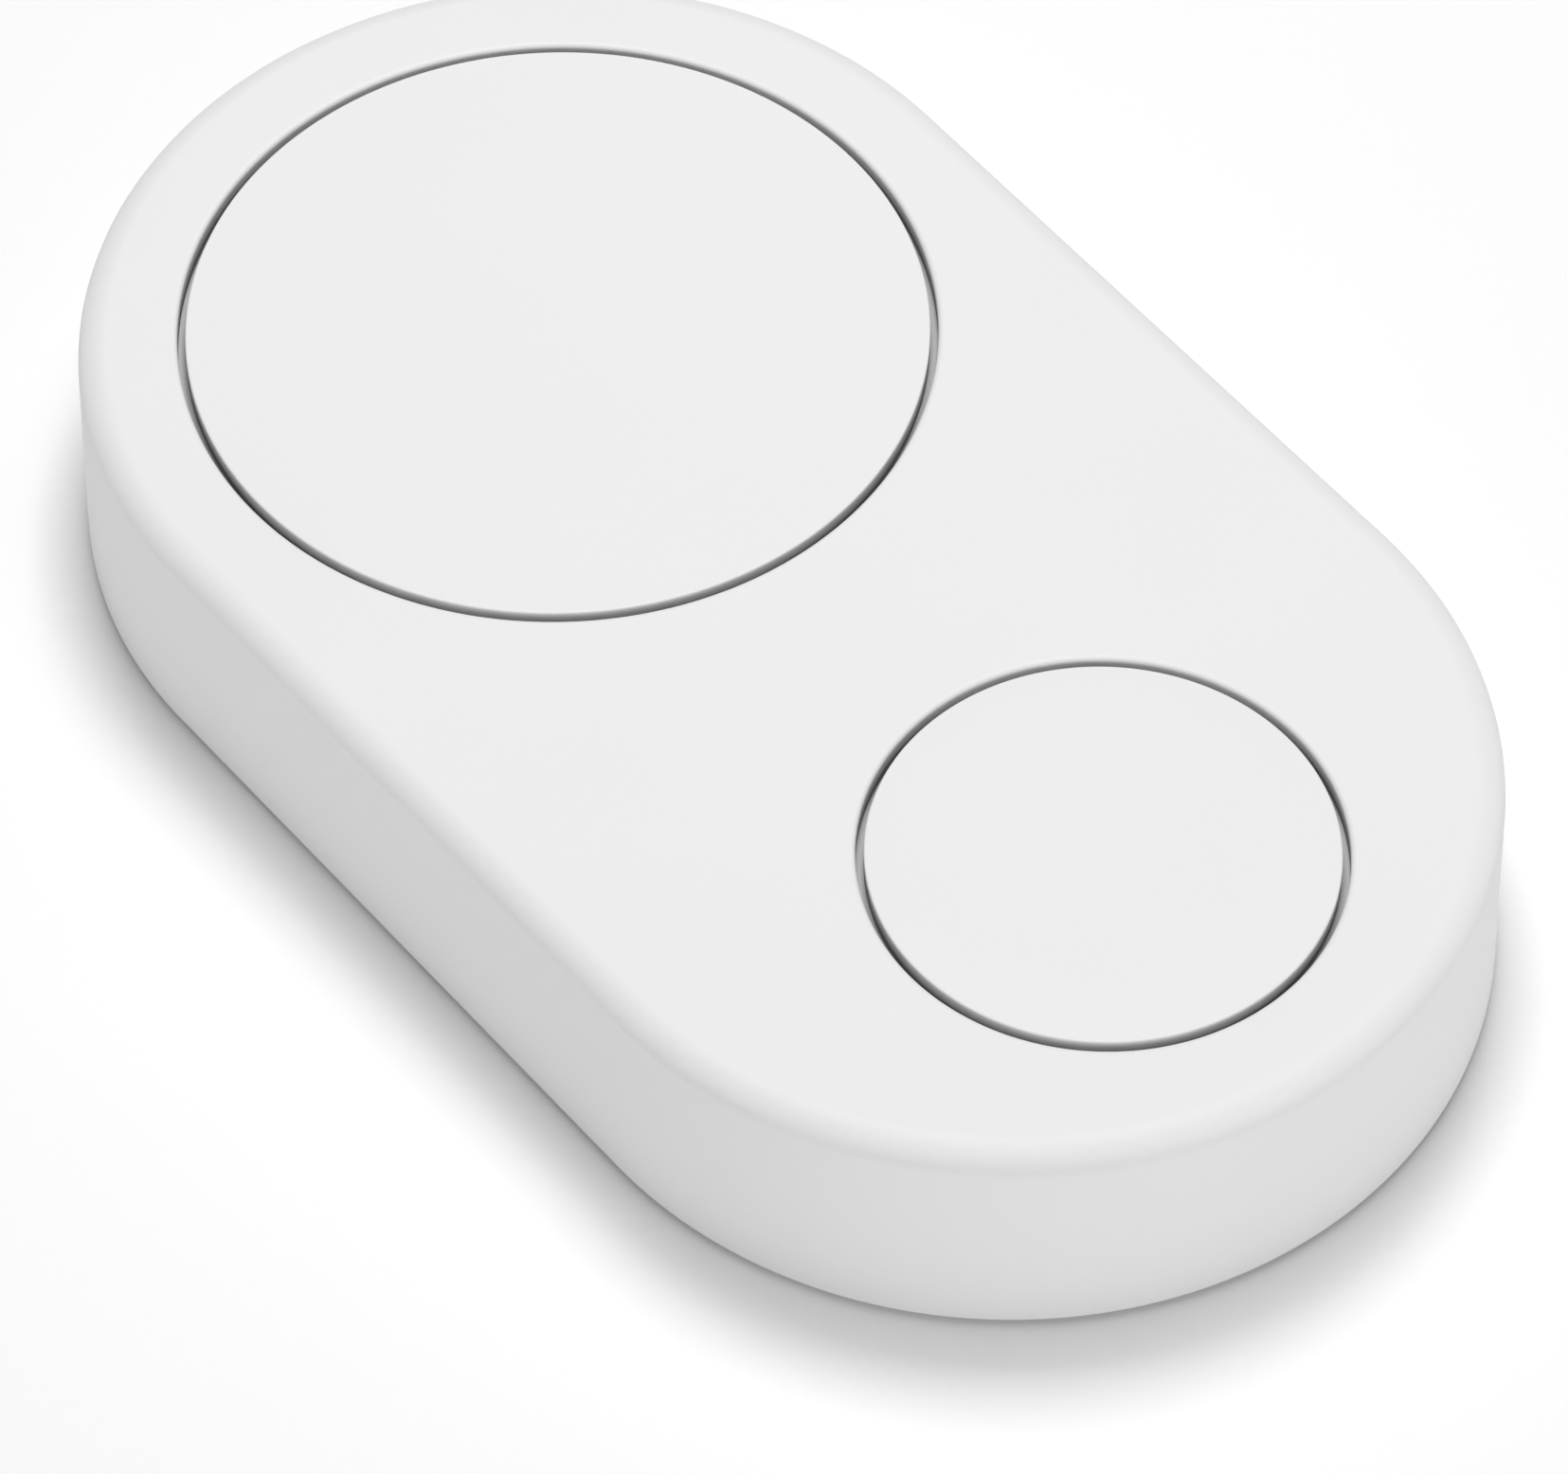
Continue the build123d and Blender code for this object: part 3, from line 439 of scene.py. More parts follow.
# Board: deep green with a wet-looking skin and a faint check.
board_mask = laminate("green_solder_mask_on_glass", "17513A", "1D5C42", 0.35)
# Capacitors: brown, like unglazed pottery.
brown_ceramic = fired_ceramic("brown_capacitor_ceramic", "9A7B55", "8B6E4B", 0.45)
# Resistors: black, with the gloss of a glaze.
glazed_ceramic = fired_ceramic("glazed_resistor_ceramic", "26262A", "303034", 0.25)
print("materials in all:", len(bpy.data.materials) - packed_materials)

# %% [markdown]
# ## Which node has which finish
# A CAD node whose shape is right stays as it is and only gets its material. One table says which, so that
# no node is forgotten, and the loop stops with the node's name if one is missing.

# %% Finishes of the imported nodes
finishes = {
    "top_housing": housing_abs, "base_cover": base_abs, "grip_ring": foot_silicone,
    "base_screws": screw_nickel, "inner_frame": nylon, "circuit_board": board_mask,
    "battery_can": cell_nickel, "battery_lid": cell_nickel, "battery_gasket": gasket_resin,
    "battery_core": cell_powder, "positive_contact": contact_nickel, "negative_contact": contact_nickel,
    "radio_chip": chip_epoxy, "crystals": crystal_nickel, "buffer_capacitor": capacitor_epoxy,
    "ceramic_capacitors": brown_ceramic, "chip_resistors": glazed_ceramic, "antenna_track": etched_copper,
    "battery_door": door_abs, "door_seal": seal_silicone, "cell_cushion": cell_foam,
}
for size in ("large", "small"):
    finishes |= {
        f"{size}_button_cap": cap_abs, f"{size}_return_ring": return_silicone,
        f"{size}_switch_base": switch_resin, f"{size}_switch_cover": switch_steel,
        f"{size}_switch_dome": switch_steel, f"{size}_switch_leads": lead_tin,
        f"{size}_switch_plunger": plunger_resin,
    }
for name, node in nodes.items():
    node.data.materials.clear()
    node.data.materials.append(finishes[name])
print("finishes given to", len(nodes), "nodes")

# %% [markdown]
# ## Helpers for modelling
# The new pieces are modelled as by hand: a circle is added, its face is inset and extruded step by step,
# and edges are picked by their place. Operators act on whatever is selected, so each step first says
# what that is. Lathe curves or mesh data written out by hand would do too, but insets keep the outline
# of the pill exact at every step, which a scaled copy wouldn't.

# %% Modelling helpers
AROUND = 256  # sides of each large round outline
AROUND_SMALL = 48  # sides of a screw, a seat or a boss
ROUNDING = 8  # steps in each rounded edge
ROUNDING_SMALL = 4  # steps in the rounded mouth of a hole in the underside
CLOSE = 0.002  # mm, how near counts as the same height
NEAR = 0.02  # mm, how near counts as the same radius, as the middle of a side is a little nearer
OVERLAP = 0.05  # mm that a block reaches into the wall it stands on
MIDDLE = 1  # mm, how near the middle of a large face lies to its axis
WALL_REACH = 2  # mm above and below a cut in which a wall's faces are looked for
SHARP_ANGLE = 28  # degrees from which an edge stays crisp


def start_piece(name, radius, x, height, y=0, around=AROUND):
    """Adds a flat disc facing up, alone in the selection, and opens it for editing."""
    bpy.ops.object.select_all(action="DESELECT")
    bpy.ops.mesh.primitive_circle_add(
        vertices=around, radius=radius * MM, fill_type="NGON",
        location=(x * MM, y * MM, height * MM), rotation=(0, 0, pi / around))
    piece = bpy.context.object
    piece.name = piece.data.name = name
    bpy.ops.object.transform_apply(location=True, rotation=True, scale=True)
    bpy.ops.object.mode_set(mode="EDIT")
    return piece


def pick(piece, part, test):
    """Selects only the VERT, EDGE or FACE items whose middle, in millimetres, passes the test."""
    bpy.ops.mesh.select_all(action="DESELECT")
    bpy.ops.mesh.select_mode(type=part)
    mesh = bmesh.from_edit_mesh(piece.data)
    items = {"VERT": mesh.verts, "EDGE": mesh.edges, "FACE": mesh.faces}[part]
    for item in items:
        if part == "VERT":
            middle = item.co
        elif part == "EDGE":
            middle = (item.verts[0].co + item.verts[1].co) / 2
        else:
            middle = item.calc_center_median()
        item.select_set(test(middle / MM))
    mesh.select_flush_mode()
    bmesh.update_edit_mesh(piece.data)


def pick_outline(piece, x, y, radius, height):
    """Selects the edges of one round outline."""
    pick(piece, "EDGE", lambda p: abs(p.z - height) < CLOSE
         and abs(hypot(p.x - x, p.y - y) - radius) < NEAR)


def push(height):
    """Extrudes the selection straight up or down."""
    bpy.ops.mesh.extrude_region_move(TRANSFORM_OT_translate={"value": (0, 0, height * MM)})


def inset(width, out=0.0):
    """Insets the selected face and moves it out along its normal."""
    bpy.ops.mesh.inset(thickness=width * MM, depth=out * MM)


def quarter(radius, steps=ROUNDING):
    """The steps of a quarter circle: the way across, which starts small, and the way up, which ends small."""
    turns = [pi / 2 * k / steps for k in range(steps + 1)]
    return [(radius * (cos(a) - cos(b)), radius * (sin(b) - sin(a))) for a, b in zip(turns, turns[1:])]


def round_over(radius):
    """Insets and lifts the selected face along a quarter circle."""
    for across, up in quarter(radius):
        inset(across, up)


def round_in(radius, steps=ROUNDING):
    """Insets and sinks the selected face along a quarter circle, as at the mouth of a hollow."""
    for across, up in quarter(radius, steps):
        inset(up, -across)


def resize_to(old, new, x, y, height):
    """Scales the selection level, about an upright axis, from an old radius to a new one."""
    bpy.ops.transform.resize(value=(new / old, new / old, 1), center_override=(x * MM, y * MM, height * MM))


def step_to(old, new, rise, x, y, height):
    """Extrudes a selected round outline to a new radius and height, and returns that height."""
    push(rise)
    resize_to(old, new, x, y, height + rise)
    return height + rise


def sink_mouth(x, y, radius, edge, height, way, steps):
    """Rounds a hole's mouth from its grown outline, which is selected; way is 1 for up and -1 for down."""
    old = radius + edge
    for drop, narrowing in quarter(edge, steps):
        height = step_to(old, old - narrowing, way * drop, x, y, height)
        old -= narrowing
    return height


def add_ring(x, y, radius, height, around=AROUND):
    """Adds a bare round outline to the mesh being edited."""
    bpy.ops.mesh.primitive_circle_add(
        vertices=around, radius=radius * MM, fill_type="NOTHING", location=(x * MM, y * MM, height * MM),
        rotation=(0, 0, pi / around))


def finish_piece(piece, materials):
    """Closes editing: merged doubles, outward normals, smooth faces with crisp creases."""
    bpy.ops.mesh.select_all(action="SELECT")
    bpy.ops.mesh.remove_doubles(threshold=CLOSE * MM / 4)
    bpy.ops.mesh.normals_make_consistent(inside=False)
    bpy.ops.object.mode_set(mode="OBJECT")
    bpy.ops.object.shade_smooth_by_angle(angle=radians(SHARP_ANGLE))
    piece.data.materials.clear()
    for material in materials:
        piece.data.materials.append(material)
    weighted = piece.modifiers.new("flat_faces_lead", "WEIGHTED_NORMAL")
    weighted.keep_sharp = True
    bpy.ops.object.modifier_apply(modifier=weighted.name)
    open_edges = sum(1 for count in edge_uses(piece) if count != 2)
    spans = [[v.co[axis] / MM for v in piece.data.vertices] for axis in range(3)]
    print(piece.name, len(piece.data.vertices), "vertices,", open_edges, "open edges, from",
          [round(min(span), 2) for span in spans], "to", [round(max(span), 2) for span in spans])


def pick_open(piece, *heights):
    """Selects the level edges at the given heights that still lack a face."""
    bpy.ops.mesh.select_all(action="DESELECT")
    bpy.ops.mesh.select_mode(type="EDGE")
    mesh = bmesh.from_edit_mesh(piece.data)
    for edge in mesh.edges:
        level = any(all(abs(v.co.z / MM - height) < CLOSE for v in edge.verts) for height in heights)
        edge.select_set(level and len(edge.link_faces) < 2)
    mesh.select_flush_mode()
    bmesh.update_edit_mesh(piece.data)


def open_flat(piece, height, x=0):
    """Deletes the one large face at a height, so that holes can be let into it."""
    pick(piece, "FACE", lambda p: abs(p.z - height) < CLOSE and hypot(p.x - x, p.y) < MIDDLE)
    bpy.ops.mesh.delete(type="ONLY_FACE")


def add_block(x, y, low, high, length, width, turn=0.0):
    """Adds a box to the mesh being edited, its length along the turned X axis."""
    bpy.ops.mesh.primitive_cube_add(
        size=MM, location=(x * MM, y * MM, (low + high) / 2 * MM), rotation=(0, 0, turn),
        scale=(length, width, high - low))


def angle_from(x, p, turn):
    """The angle, in degrees, between a direction and the line from a round end's axis to a point."""
    return abs((degrees(atan2(p.y, p.x - x)) - turn + 180) % 360 - 180)


def draw_out(piece, x, radius, turns, half_angle, low, high, amount):
    """Cuts a round wall at two heights and pushes parts of it out, or in, along its normals."""

    def on_wall(p):
        return abs(hypot(p.x - x, p.y) - radius) < NEAR and low - WALL_REACH < p.z < high + WALL_REACH

    for height in (low, high):
        pick(piece, "FACE", on_wall)
        bpy.ops.mesh.bisect(plane_co=(0, 0, height * MM), plane_no=(0, 0, 1))
    pick(piece, "FACE", lambda p: on_wall(p) and low < p.z < high
         and any(angle_from(x, p, turn) < half_angle for turn in turns))
    bpy.ops.mesh.extrude_region_shrink_fatten(TRANSFORM_OT_shrink_fatten={"value": amount * MM})


def edge_uses(piece):
    """How many faces meet at each edge: two everywhere on a closed shell."""
    uses = {}
    for face in piece.data.polygons:
        for key in face.edge_keys:
            uses[key] = uses.get(key, 0) + 1
    return uses.values()


# %% [markdown]
# ## Press caps
# Each cap is a disc that stands flush in its hole, with a flange that is caught under the housing, three
# notches that keep it from turning, and a ribbed underside with a post over the switch. It could be
# lathed from a profile in one spin. One disc that is inset and extruded from both faces gives the same
# rings, and the edge between the top and the wall gets its small radius on the way.

# %% Press caps
FLANGE_BAND = 1.2
RECESS_DEPTH = 0.5
LAND_HALF_WIDTH = 0.8
RIB_WIDTH = 1.0
RIB_COUNT = 6
NOTCH_COUNT = 3
NOTCH_HALF_WIDTH = 1.0


def model_cap(button):
    """One press cap, built outwards from the plane of its flange."""
    cap = start_piece(f"{button.size}_cap", button.flange_radius, button.x, button.flange_bottom)
    pick(cap, "FACE", lambda p: True)
    push(FLANGE_THICKNESS)
    inset(FLANGE_OVERLAP + BUTTON_GAP)
    push(TOP - button.flange_top - CAP_EDGE_RADIUS)
    round_over(CAP_EDGE_RADIUS)
    inset(button.cap_radius / 3)  # breaks up the large flat face, which shades more evenly
    pick(cap, "FACE", lambda p: abs(p.z - button.flange_bottom) < CLOSE)
    edge = button.flange_radius
    for radius, rise in (
        (button.cap_radius - FLANGE_BAND, RECESS_DEPTH),
        (button.ring_radius + LAND_HALF_WIDTH, -RECESS_DEPTH),
        (button.ring_radius - LAND_HALF_WIDTH, RECESS_DEPTH),
        (button.hub_radius, -RECESS_DEPTH),
        (POST_RADIUS, -POST_LENGTH),
    ):
        inset(edge - radius)
        push(rise)
        edge = radius
    for k in range(NOTCH_COUNT):
        turn = 2 * pi * k / NOTCH_COUNT
        outward = Vector((cos(turn), sin(turn), 0))

        def in_notch(p, outward=outward):
            arm = Vector((p.x - button.x, p.y, 0))
            across = abs(arm.cross(outward).z)
            on_rim = abs(arm.length - button.flange_radius) < CLOSE
            return on_rim and across < NOTCH_HALF_WIDTH and arm @ outward > 0

        pick(cap, "VERT", in_notch)
        bpy.ops.transform.translate(value=-outward * FLANGE_OVERLAP * MM)
    add_ribs(button)
    finish_piece(cap, [cap_abs, gap_wall_painted_shade])
    # The faces of the gap below the lip get the material with painted shade.
    for face in cap.data.polygons:
        middle = face.center / MM
        if button.flange_top - CLOSE < middle.z < TOP - CLOSE:
            face.material_index = 1
    return cap


def add_ribs(button):
    """Straight ribs from the hub to the land and from the land to the outer band."""
    spans = (
        (button.hub_radius, button.ring_radius - LAND_HALF_WIDTH),
        (button.ring_radius + LAND_HALF_WIDTH, button.cap_radius - FLANGE_BAND),
    )
    for inner, outer in spans:
        for k in range(RIB_COUNT):
            turn = 2 * pi * k / RIB_COUNT
            middle = (inner + outer) / 2
            add_block(button.x + middle * cos(turn), middle * sin(turn), button.flange_bottom,
                      button.flange_bottom + RECESS_DEPTH, outer - inner + RIB_WIDTH / 2, RIB_WIDTH, turn)


for button in (large, small):
    cap = model_cap(button)
    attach(cap, f"{button.size}_button")
    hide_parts(f"{button.size}_button_cap")

# %% [markdown]
# ## Housing
# The housing is one moulded shell: a side wall with a slight draft, a 1.1 mm rounded top edge, two holes
# with softly rounded mouths, and inside it the pockets for the flanges and four screw bosses. It could be
# cut from a solid with boolean modifiers, but they leave long thin faces at the rounded edges. Here one
# face is carried up the outside and another up the inside by insets and extrudes, and the two flat faces
# that hold holes are filled between their outlines.

# %% Housing
BOSS_RADIUS = 1.5
PILOT_RADIUS = 0.65
SCREW_LENGTH = 4.4
BOSS_INSET = 2.7
BOSS_CLEARANCE = 0.3
RIM_WALL = 1.6
UPPER_WALL = 2.2
BRIDGE_RIB_WIDTH = 0.8
KEY_WIDTH = 1.6
FOOT_BAND = 0.2
BASE_THICKNESS = 1.25
BASE_GAP = 0.1

base_top = base_low.z + BASE_THICKNESS
underside = large.flange_bottom
top_radius = FOOT_RADIUS - (TOP - RIM) * sin(radians(SIDE_DRAFT))
inner_radius = top_radius - UPPER_WALL
rim_radius = top_radius - RIM_WALL
boss_y = inner_radius - BOSS_INSET
boss_reach = large.pocket_radius + BOSS_RADIUS + BOSS_CLEARANCE
boss_x = large.x + (boss_reach**2 - boss_y**2) ** 0.5
boss_places = [(x, y) for x in (boss_x, END_X) for y in (-boss_y, boss_y)]


def part_ends(piece):
    """Pulls the two halves of a round outline apart, so that it becomes a pill."""
    for side in (-1, 1):
        pick(piece, "VERT", lambda p, side=side: p.x * side > 0)
        bpy.ops.transform.translate(value=(side * END_X * MM, 0, 0))


housing = start_piece("housing_shell", FOOT_RADIUS, 0, RIM + FOOT_EDGE_RADIUS)
part_ends(housing)
pick(housing, "FACE", lambda p: True)
push(FOOT_BAND)
inset(FOOT_RADIUS - top_radius, TOP - TOP_EDGE_RADIUS - RIM - FOOT_EDGE_RADIUS - FOOT_BAND)
round_over(TOP_EDGE_RADIUS)
pick(housing, "FACE", lambda p: p.z < RIM + FOOT_EDGE_RADIUS + CLOSE)
round_over(FOOT_EDGE_RADIUS)
inset(FOOT_RADIUS - FOOT_EDGE_RADIUS - rim_radius)
push(base_top - RIM)
inset(rim_radius - inner_radius)
push(underside - base_top)
bpy.ops.mesh.delete(type="ONLY_FACE")
open_flat(housing, TOP)
print("housing skins", len(bmesh.from_edit_mesh(housing.data).faces), "faces")

# %% Housing: the top with its two holes
for button in (large, small):
    add_ring(button.x, 0, button.hole_radius + HOLE_EDGE_RADIUS, TOP)
pick_open(housing, TOP)
bpy.ops.mesh.fill(use_beauty=True)
for button in (large, small):
    pick_outline(housing, button.x, 0, button.hole_radius + HOLE_EDGE_RADIUS, TOP)
    height = sink_mouth(button.x, 0, button.hole_radius, HOLE_EDGE_RADIUS, TOP, -1, ROUNDING)
    push(button.flange_top - height)
    step_to(button.hole_radius, button.pocket_radius, 0, button.x, 0, button.flange_top)
    push(-FLANGE_THICKNESS)
print("holes and pockets at", [round(button.x, 2) for button in (large, small)])

# %% Housing: the underside with its bosses
for x, y in boss_places:
    add_ring(x, y, BOSS_RADIUS, underside, AROUND_SMALL)
pick_open(housing, underside)
bpy.ops.mesh.fill(use_beauty=True)
for x, y in boss_places:
    pick(housing, "EDGE", lambda p: abs(p.z - underside) < CLOSE
         and hypot(p.x - x, p.y - y) < BOSS_RADIUS + CLOSE)
    push(base_top - underside)
    step_to(BOSS_RADIUS, PILOT_RADIUS, 0, x, y, base_top)
    push(SCREW_LENGTH)
    bpy.ops.mesh.edge_face_add()
print("bosses at", [(round(x, 2), round(y, 2)) for x, y in boss_places])

# %% Housing: keys, webs, the bridge and the rooms for the nibs
BRIDGE_LOW = 6.25
NIB_WIDTH = 6.0
NIB_REACH = 0.5
NIB_HEIGHT = 0.5
NIB_RISE = 0.45
NIB_PLAY = 0.15
NIB_PLAY_ANGLE = 1
NIB_TURNS = (145, 215)
nib_low = base_low.z + NIB_RISE
nib_high = nib_low + NIB_HEIGHT
base_radius = rim_radius - BASE_GAP
nib_half_angle = degrees(NIB_WIDTH / 2 / base_radius)
for button in (large, small):
    for k in range(NOTCH_COUNT):
        turn = 2 * pi * k / NOTCH_COUNT
        reach = button.pocket_radius - FLANGE_OVERLAP / 2 + OVERLAP
        add_block(button.x + reach * cos(turn), reach * sin(turn), button.flange_bottom,
                  button.flange_top + OVERLAP, FLANGE_OVERLAP + 2 * OVERLAP, KEY_WIDTH, turn)
for x, y in boss_places:
    side = 1 if y > 0 else -1
    add_block(x, y + side * BOSS_INSET / 2, base_top, underside + OVERLAP, BOSS_RADIUS,
              BOSS_INSET + 4 * OVERLAP)
bridge_x = (large.x + large.pocket_radius + small.x - small.pocket_radius) / 2
add_block(bridge_x, 0, BRIDGE_LOW, underside + OVERLAP, BRIDGE_RIB_WIDTH, 2 * inner_radius + 4 * OVERLAP)
draw_out(housing, -END_X, rim_radius, NIB_TURNS, nib_half_angle + NIB_PLAY_ANGLE,
         nib_low - NIB_PLAY, nib_high + NIB_PLAY, BASE_GAP - NIB_REACH - NIB_PLAY)
finish_piece(housing, [housing_abs, gap_wall_painted_shade])
# The faces of the holes below the lip get the material with painted shade.
for face in housing.data.polygons:
    middle = face.center / MM
    for button in (large, small):
        near = hypot(middle.x - button.x, middle.y) < button.hole_radius + HOLE_EDGE_RADIUS
        if near and button.flange_top < middle.z < TOP - CLOSE / 4:
            face.material_index = 1
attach(housing, "housing")
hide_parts("top_housing")

# %% [markdown]
# ## Base cover
# The base cover closes the underside: a plate with a groove for the foot ring, four sunk screw seats and
# the round opening of the coin-cell door, whose wall has three slots that let the door's tabs through.
# On the real one it is a second moulding. One disc gives the plate and the groove; then the flat face is
# opened, the round outlines are laid in it and joined by one fill, and each outline is pushed up.

# %% Base cover
BASE_EDGE_RADIUS = 0.1
DOOR_OPENING = 13.2
BORE_RADIUS = 11.25
SLOT_RADIUS = 12.15
SLOT_HALF_ANGLE = 10
TAB_TURNS = (60, 180, 300)
DOOR_TURN = 30
GROOVE_OUTER = 15.4
GROOVE_WIDTH = 0.9
GROOVE_DEPTH = 0.2
SEAT_RADIUS = 1.5
SEAT_DEPTH = 0.8
SHANK_HOLE_RADIUS = 0.9
DOOR_LEDGE_RISE = 0.7
MARK_RADIUS = 0.5
MARK_DEPTH = 0.15
MARK_REACH = 14.35
MOUTH_RADIUS = 0.12
AROUND_MARK = 32
base_bottom = base_low.z
door_ledge = base_bottom + DOOR_LEDGE_RISE

base = start_piece("base_plate", base_radius, 0, base_bottom + BASE_EDGE_RADIUS)
part_ends(base)
pick(base, "FACE", lambda p: True)
push(base_top - base_bottom - BASE_EDGE_RADIUS)
pick(base, "FACE", lambda p: p.z < base_bottom + BASE_EDGE_RADIUS + CLOSE)
round_over(BASE_EDGE_RADIUS)
inset(base_radius - BASE_EDGE_RADIUS - GROOVE_OUTER)
push(GROOVE_DEPTH)
inset(GROOVE_WIDTH)
push(-GROOVE_DEPTH)
bpy.ops.mesh.delete(type="ONLY_FACE")
open_flat(base, base_top)
marks = [(large.x + MARK_REACH * cos(a), MARK_REACH * sin(a)) for a in (0, -radians(DOOR_TURN))]
add_ring(large.x, 0, DOOR_OPENING + MOUTH_RADIUS, base_bottom)
for x, y in boss_places:
    add_ring(x, y, SEAT_RADIUS + MOUTH_RADIUS, base_bottom, AROUND_SMALL)
for x, y in marks:
    add_ring(x, y, MARK_RADIUS, base_bottom, AROUND_MARK)
pick_open(base, base_bottom)
bpy.ops.mesh.fill(use_beauty=True)
print("outlines let into the underside:", 1 + len(boss_places) + len(marks))

# %% Base cover: the door's opening, the seats and the marks
pick_outline(base, large.x, 0, DOOR_OPENING + MOUTH_RADIUS, base_bottom)
push(door_ledge - sink_mouth(large.x, 0, DOOR_OPENING, MOUTH_RADIUS, base_bottom, 1, ROUNDING_SMALL))
step_to(DOOR_OPENING, BORE_RADIUS, 0, large.x, 0, door_ledge)
pick(base, "VERT", lambda p: abs(p.z - door_ledge) < CLOSE
     and abs(hypot(p.x - large.x, p.y) - BORE_RADIUS) < NEAR
     and any(angle_from(large.x, p, turn - DOOR_TURN) < SLOT_HALF_ANGLE for turn in TAB_TURNS))
resize_to(BORE_RADIUS, SLOT_RADIUS, large.x, 0, door_ledge)
pick_open(base, door_ledge)
push(base_top - door_ledge)
seat_top = base_bottom + SEAT_DEPTH
for x, y in boss_places:
    pick_outline(base, x, y, SEAT_RADIUS + MOUTH_RADIUS, base_bottom)
    push(seat_top - sink_mouth(x, y, SEAT_RADIUS, MOUTH_RADIUS, base_bottom, 1, ROUNDING_SMALL))
    step_to(SEAT_RADIUS, SHANK_HOLE_RADIUS, 0, x, y, seat_top)
    push(base_top - seat_top)
pick_open(base, base_top)
bpy.ops.mesh.fill(use_beauty=True)
for (x, y), inner in zip(marks, (0, MARK_RADIUS / 2)):
    pick_outline(base, x, y, MARK_RADIUS, base_bottom)
    push(MARK_DEPTH)
    if inner:
        step_to(MARK_RADIUS, inner, 0, x, y, base_bottom + MARK_DEPTH)
        push(-MARK_DEPTH)
    bpy.ops.mesh.edge_face_add()

# %% Base cover: the nibs that snap into the housing and the stops of the door's tabs
STOP_HALF_ANGLE = 2.5
STOP_OFFSET = 12.5
draw_out(base, -END_X, base_radius, NIB_TURNS, nib_half_angle, nib_low, nib_high, NIB_REACH)
stop_middle = (BORE_RADIUS + SLOT_RADIUS) / 2
for tab_turn in TAB_TURNS:
    for turn in (tab_turn + STOP_OFFSET, tab_turn - DOOR_TURN - STOP_OFFSET):
        a = radians(turn)
        add_block(large.x + stop_middle * cos(a), stop_middle * sin(a), base_top - OVERLAP, base_high.z,
                  SLOT_RADIUS - BORE_RADIUS, 2 * stop_middle * radians(STOP_HALF_ANGLE), a)
finish_piece(base, [base_abs])
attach(base, "housing")
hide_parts("base_cover")

# %% [markdown]
# ## Foot ring
# The button stands on a ring of silicone that is pressed into the groove of the base cover. It is a
# strip moulded in the shape of the pill, with soft edges. A curve with a bevel would give it too, but
# the same insets as before keep it exactly in its groove, and a bridge joins the inside.

# %% Foot ring
FOOT_RING_EDGE = 0.15
foot_ring = start_piece("foot_ring", GROOVE_OUTER, 0, FOOT_RING_EDGE)
part_ends(foot_ring)
pick(foot_ring, "FACE", lambda p: True)
push(base_bottom + GROOVE_DEPTH - FOOT_RING_EDGE)
inset(GROOVE_WIDTH)
bpy.ops.mesh.delete(type="ONLY_FACE")
pick(foot_ring, "FACE", lambda p: p.z < FOOT_RING_EDGE + CLOSE)
round_over(FOOT_RING_EDGE)
inset(GROOVE_WIDTH - 2 * FOOT_RING_EDGE)
round_in(FOOT_RING_EDGE)
bpy.ops.mesh.delete(type="ONLY_FACE")
pick_open(foot_ring, base_bottom + GROOVE_DEPTH, FOOT_RING_EDGE)
bpy.ops.mesh.bridge_edge_loops()
finish_piece(foot_ring, [foot_silicone])
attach(foot_ring, "housing")
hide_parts("grip_ring")

# %% [markdown]
# ## Coin-cell door
# The door is a round plate with a slot for a coin. A quarter turn isn't needed: thirty degrees free its
# three tabs from the base cover. Its neck holds the cell, and a groove round the neck holds the seal.
# The rings come from insets of one disc; the tabs are parts of the neck's wall pushed out.

# %% Coin-cell door
DOOR_RADIUS = 13.05
DOOR_THICKNESS = 0.6
DOOR_EDGE_RADIUS = 0.12
SEAL_OUTER = 12.9
SEAL_WIDTH = 0.6
SEAL_DEPTH = 0.25
NECK_OUTER = 11.1
NECK_WALL = 0.85
NECK_TOP = 2.4
DOOR_FLOOR_RISE = 0.9
TAB_REACH = 0.9
TAB_HALF_ANGLE = 9
TAB_LOW = 1.8
COIN_SLOT_LENGTH = 15.0
COIN_SLOT_WIDTH = 1.8
COIN_SLOT_DEPTH = 0.5
COIN_SLOT_EDGE = 0.12
DOOR_MARK_REACH = 11.75
SLIVER = 0.001  # mm left above the tabs, so that the cut doesn't run along the neck's top
slot_end = (COIN_SLOT_LENGTH - COIN_SLOT_WIDTH) / 2
slot_mouth = COIN_SLOT_WIDTH / 2 + COIN_SLOT_EDGE
door = start_piece("coin_cell_door", DOOR_RADIUS, large.x, base_bottom + DOOR_EDGE_RADIUS)
pick(door, "FACE", lambda p: True)
push(DOOR_THICKNESS - DOOR_EDGE_RADIUS)
inset(DOOR_RADIUS - SEAL_OUTER)
push(-SEAL_DEPTH)
inset(SEAL_WIDTH)
push(SEAL_DEPTH)
inset(SEAL_OUTER - SEAL_WIDTH - NECK_OUTER)
push(NECK_TOP - base_bottom - DOOR_THICKNESS)
inset(NECK_WALL)
push(base_bottom + DOOR_FLOOR_RISE - NECK_TOP)
pick(door, "FACE", lambda p: p.z < base_bottom + DOOR_EDGE_RADIUS + CLOSE)
round_over(DOOR_EDGE_RADIUS)
bpy.ops.mesh.delete(type="ONLY_FACE")
add_ring(large.x + DOOR_MARK_REACH, 0, MARK_RADIUS, base_bottom, AROUND_MARK)
add_ring(large.x, 0, slot_mouth, base_bottom, AROUND_SMALL)
for side in (-1, 1):
    pick(door, "VERT", lambda p: abs(p.z - base_bottom) < CLOSE
         and hypot(p.x - large.x, p.y) < 2 * COIN_SLOT_WIDTH and 0 < p.y * side < COIN_SLOT_WIDTH)
    bpy.ops.transform.translate(value=(0, side * slot_end * MM, 0))
pick_open(door, base_bottom)
bpy.ops.mesh.fill(use_beauty=True)
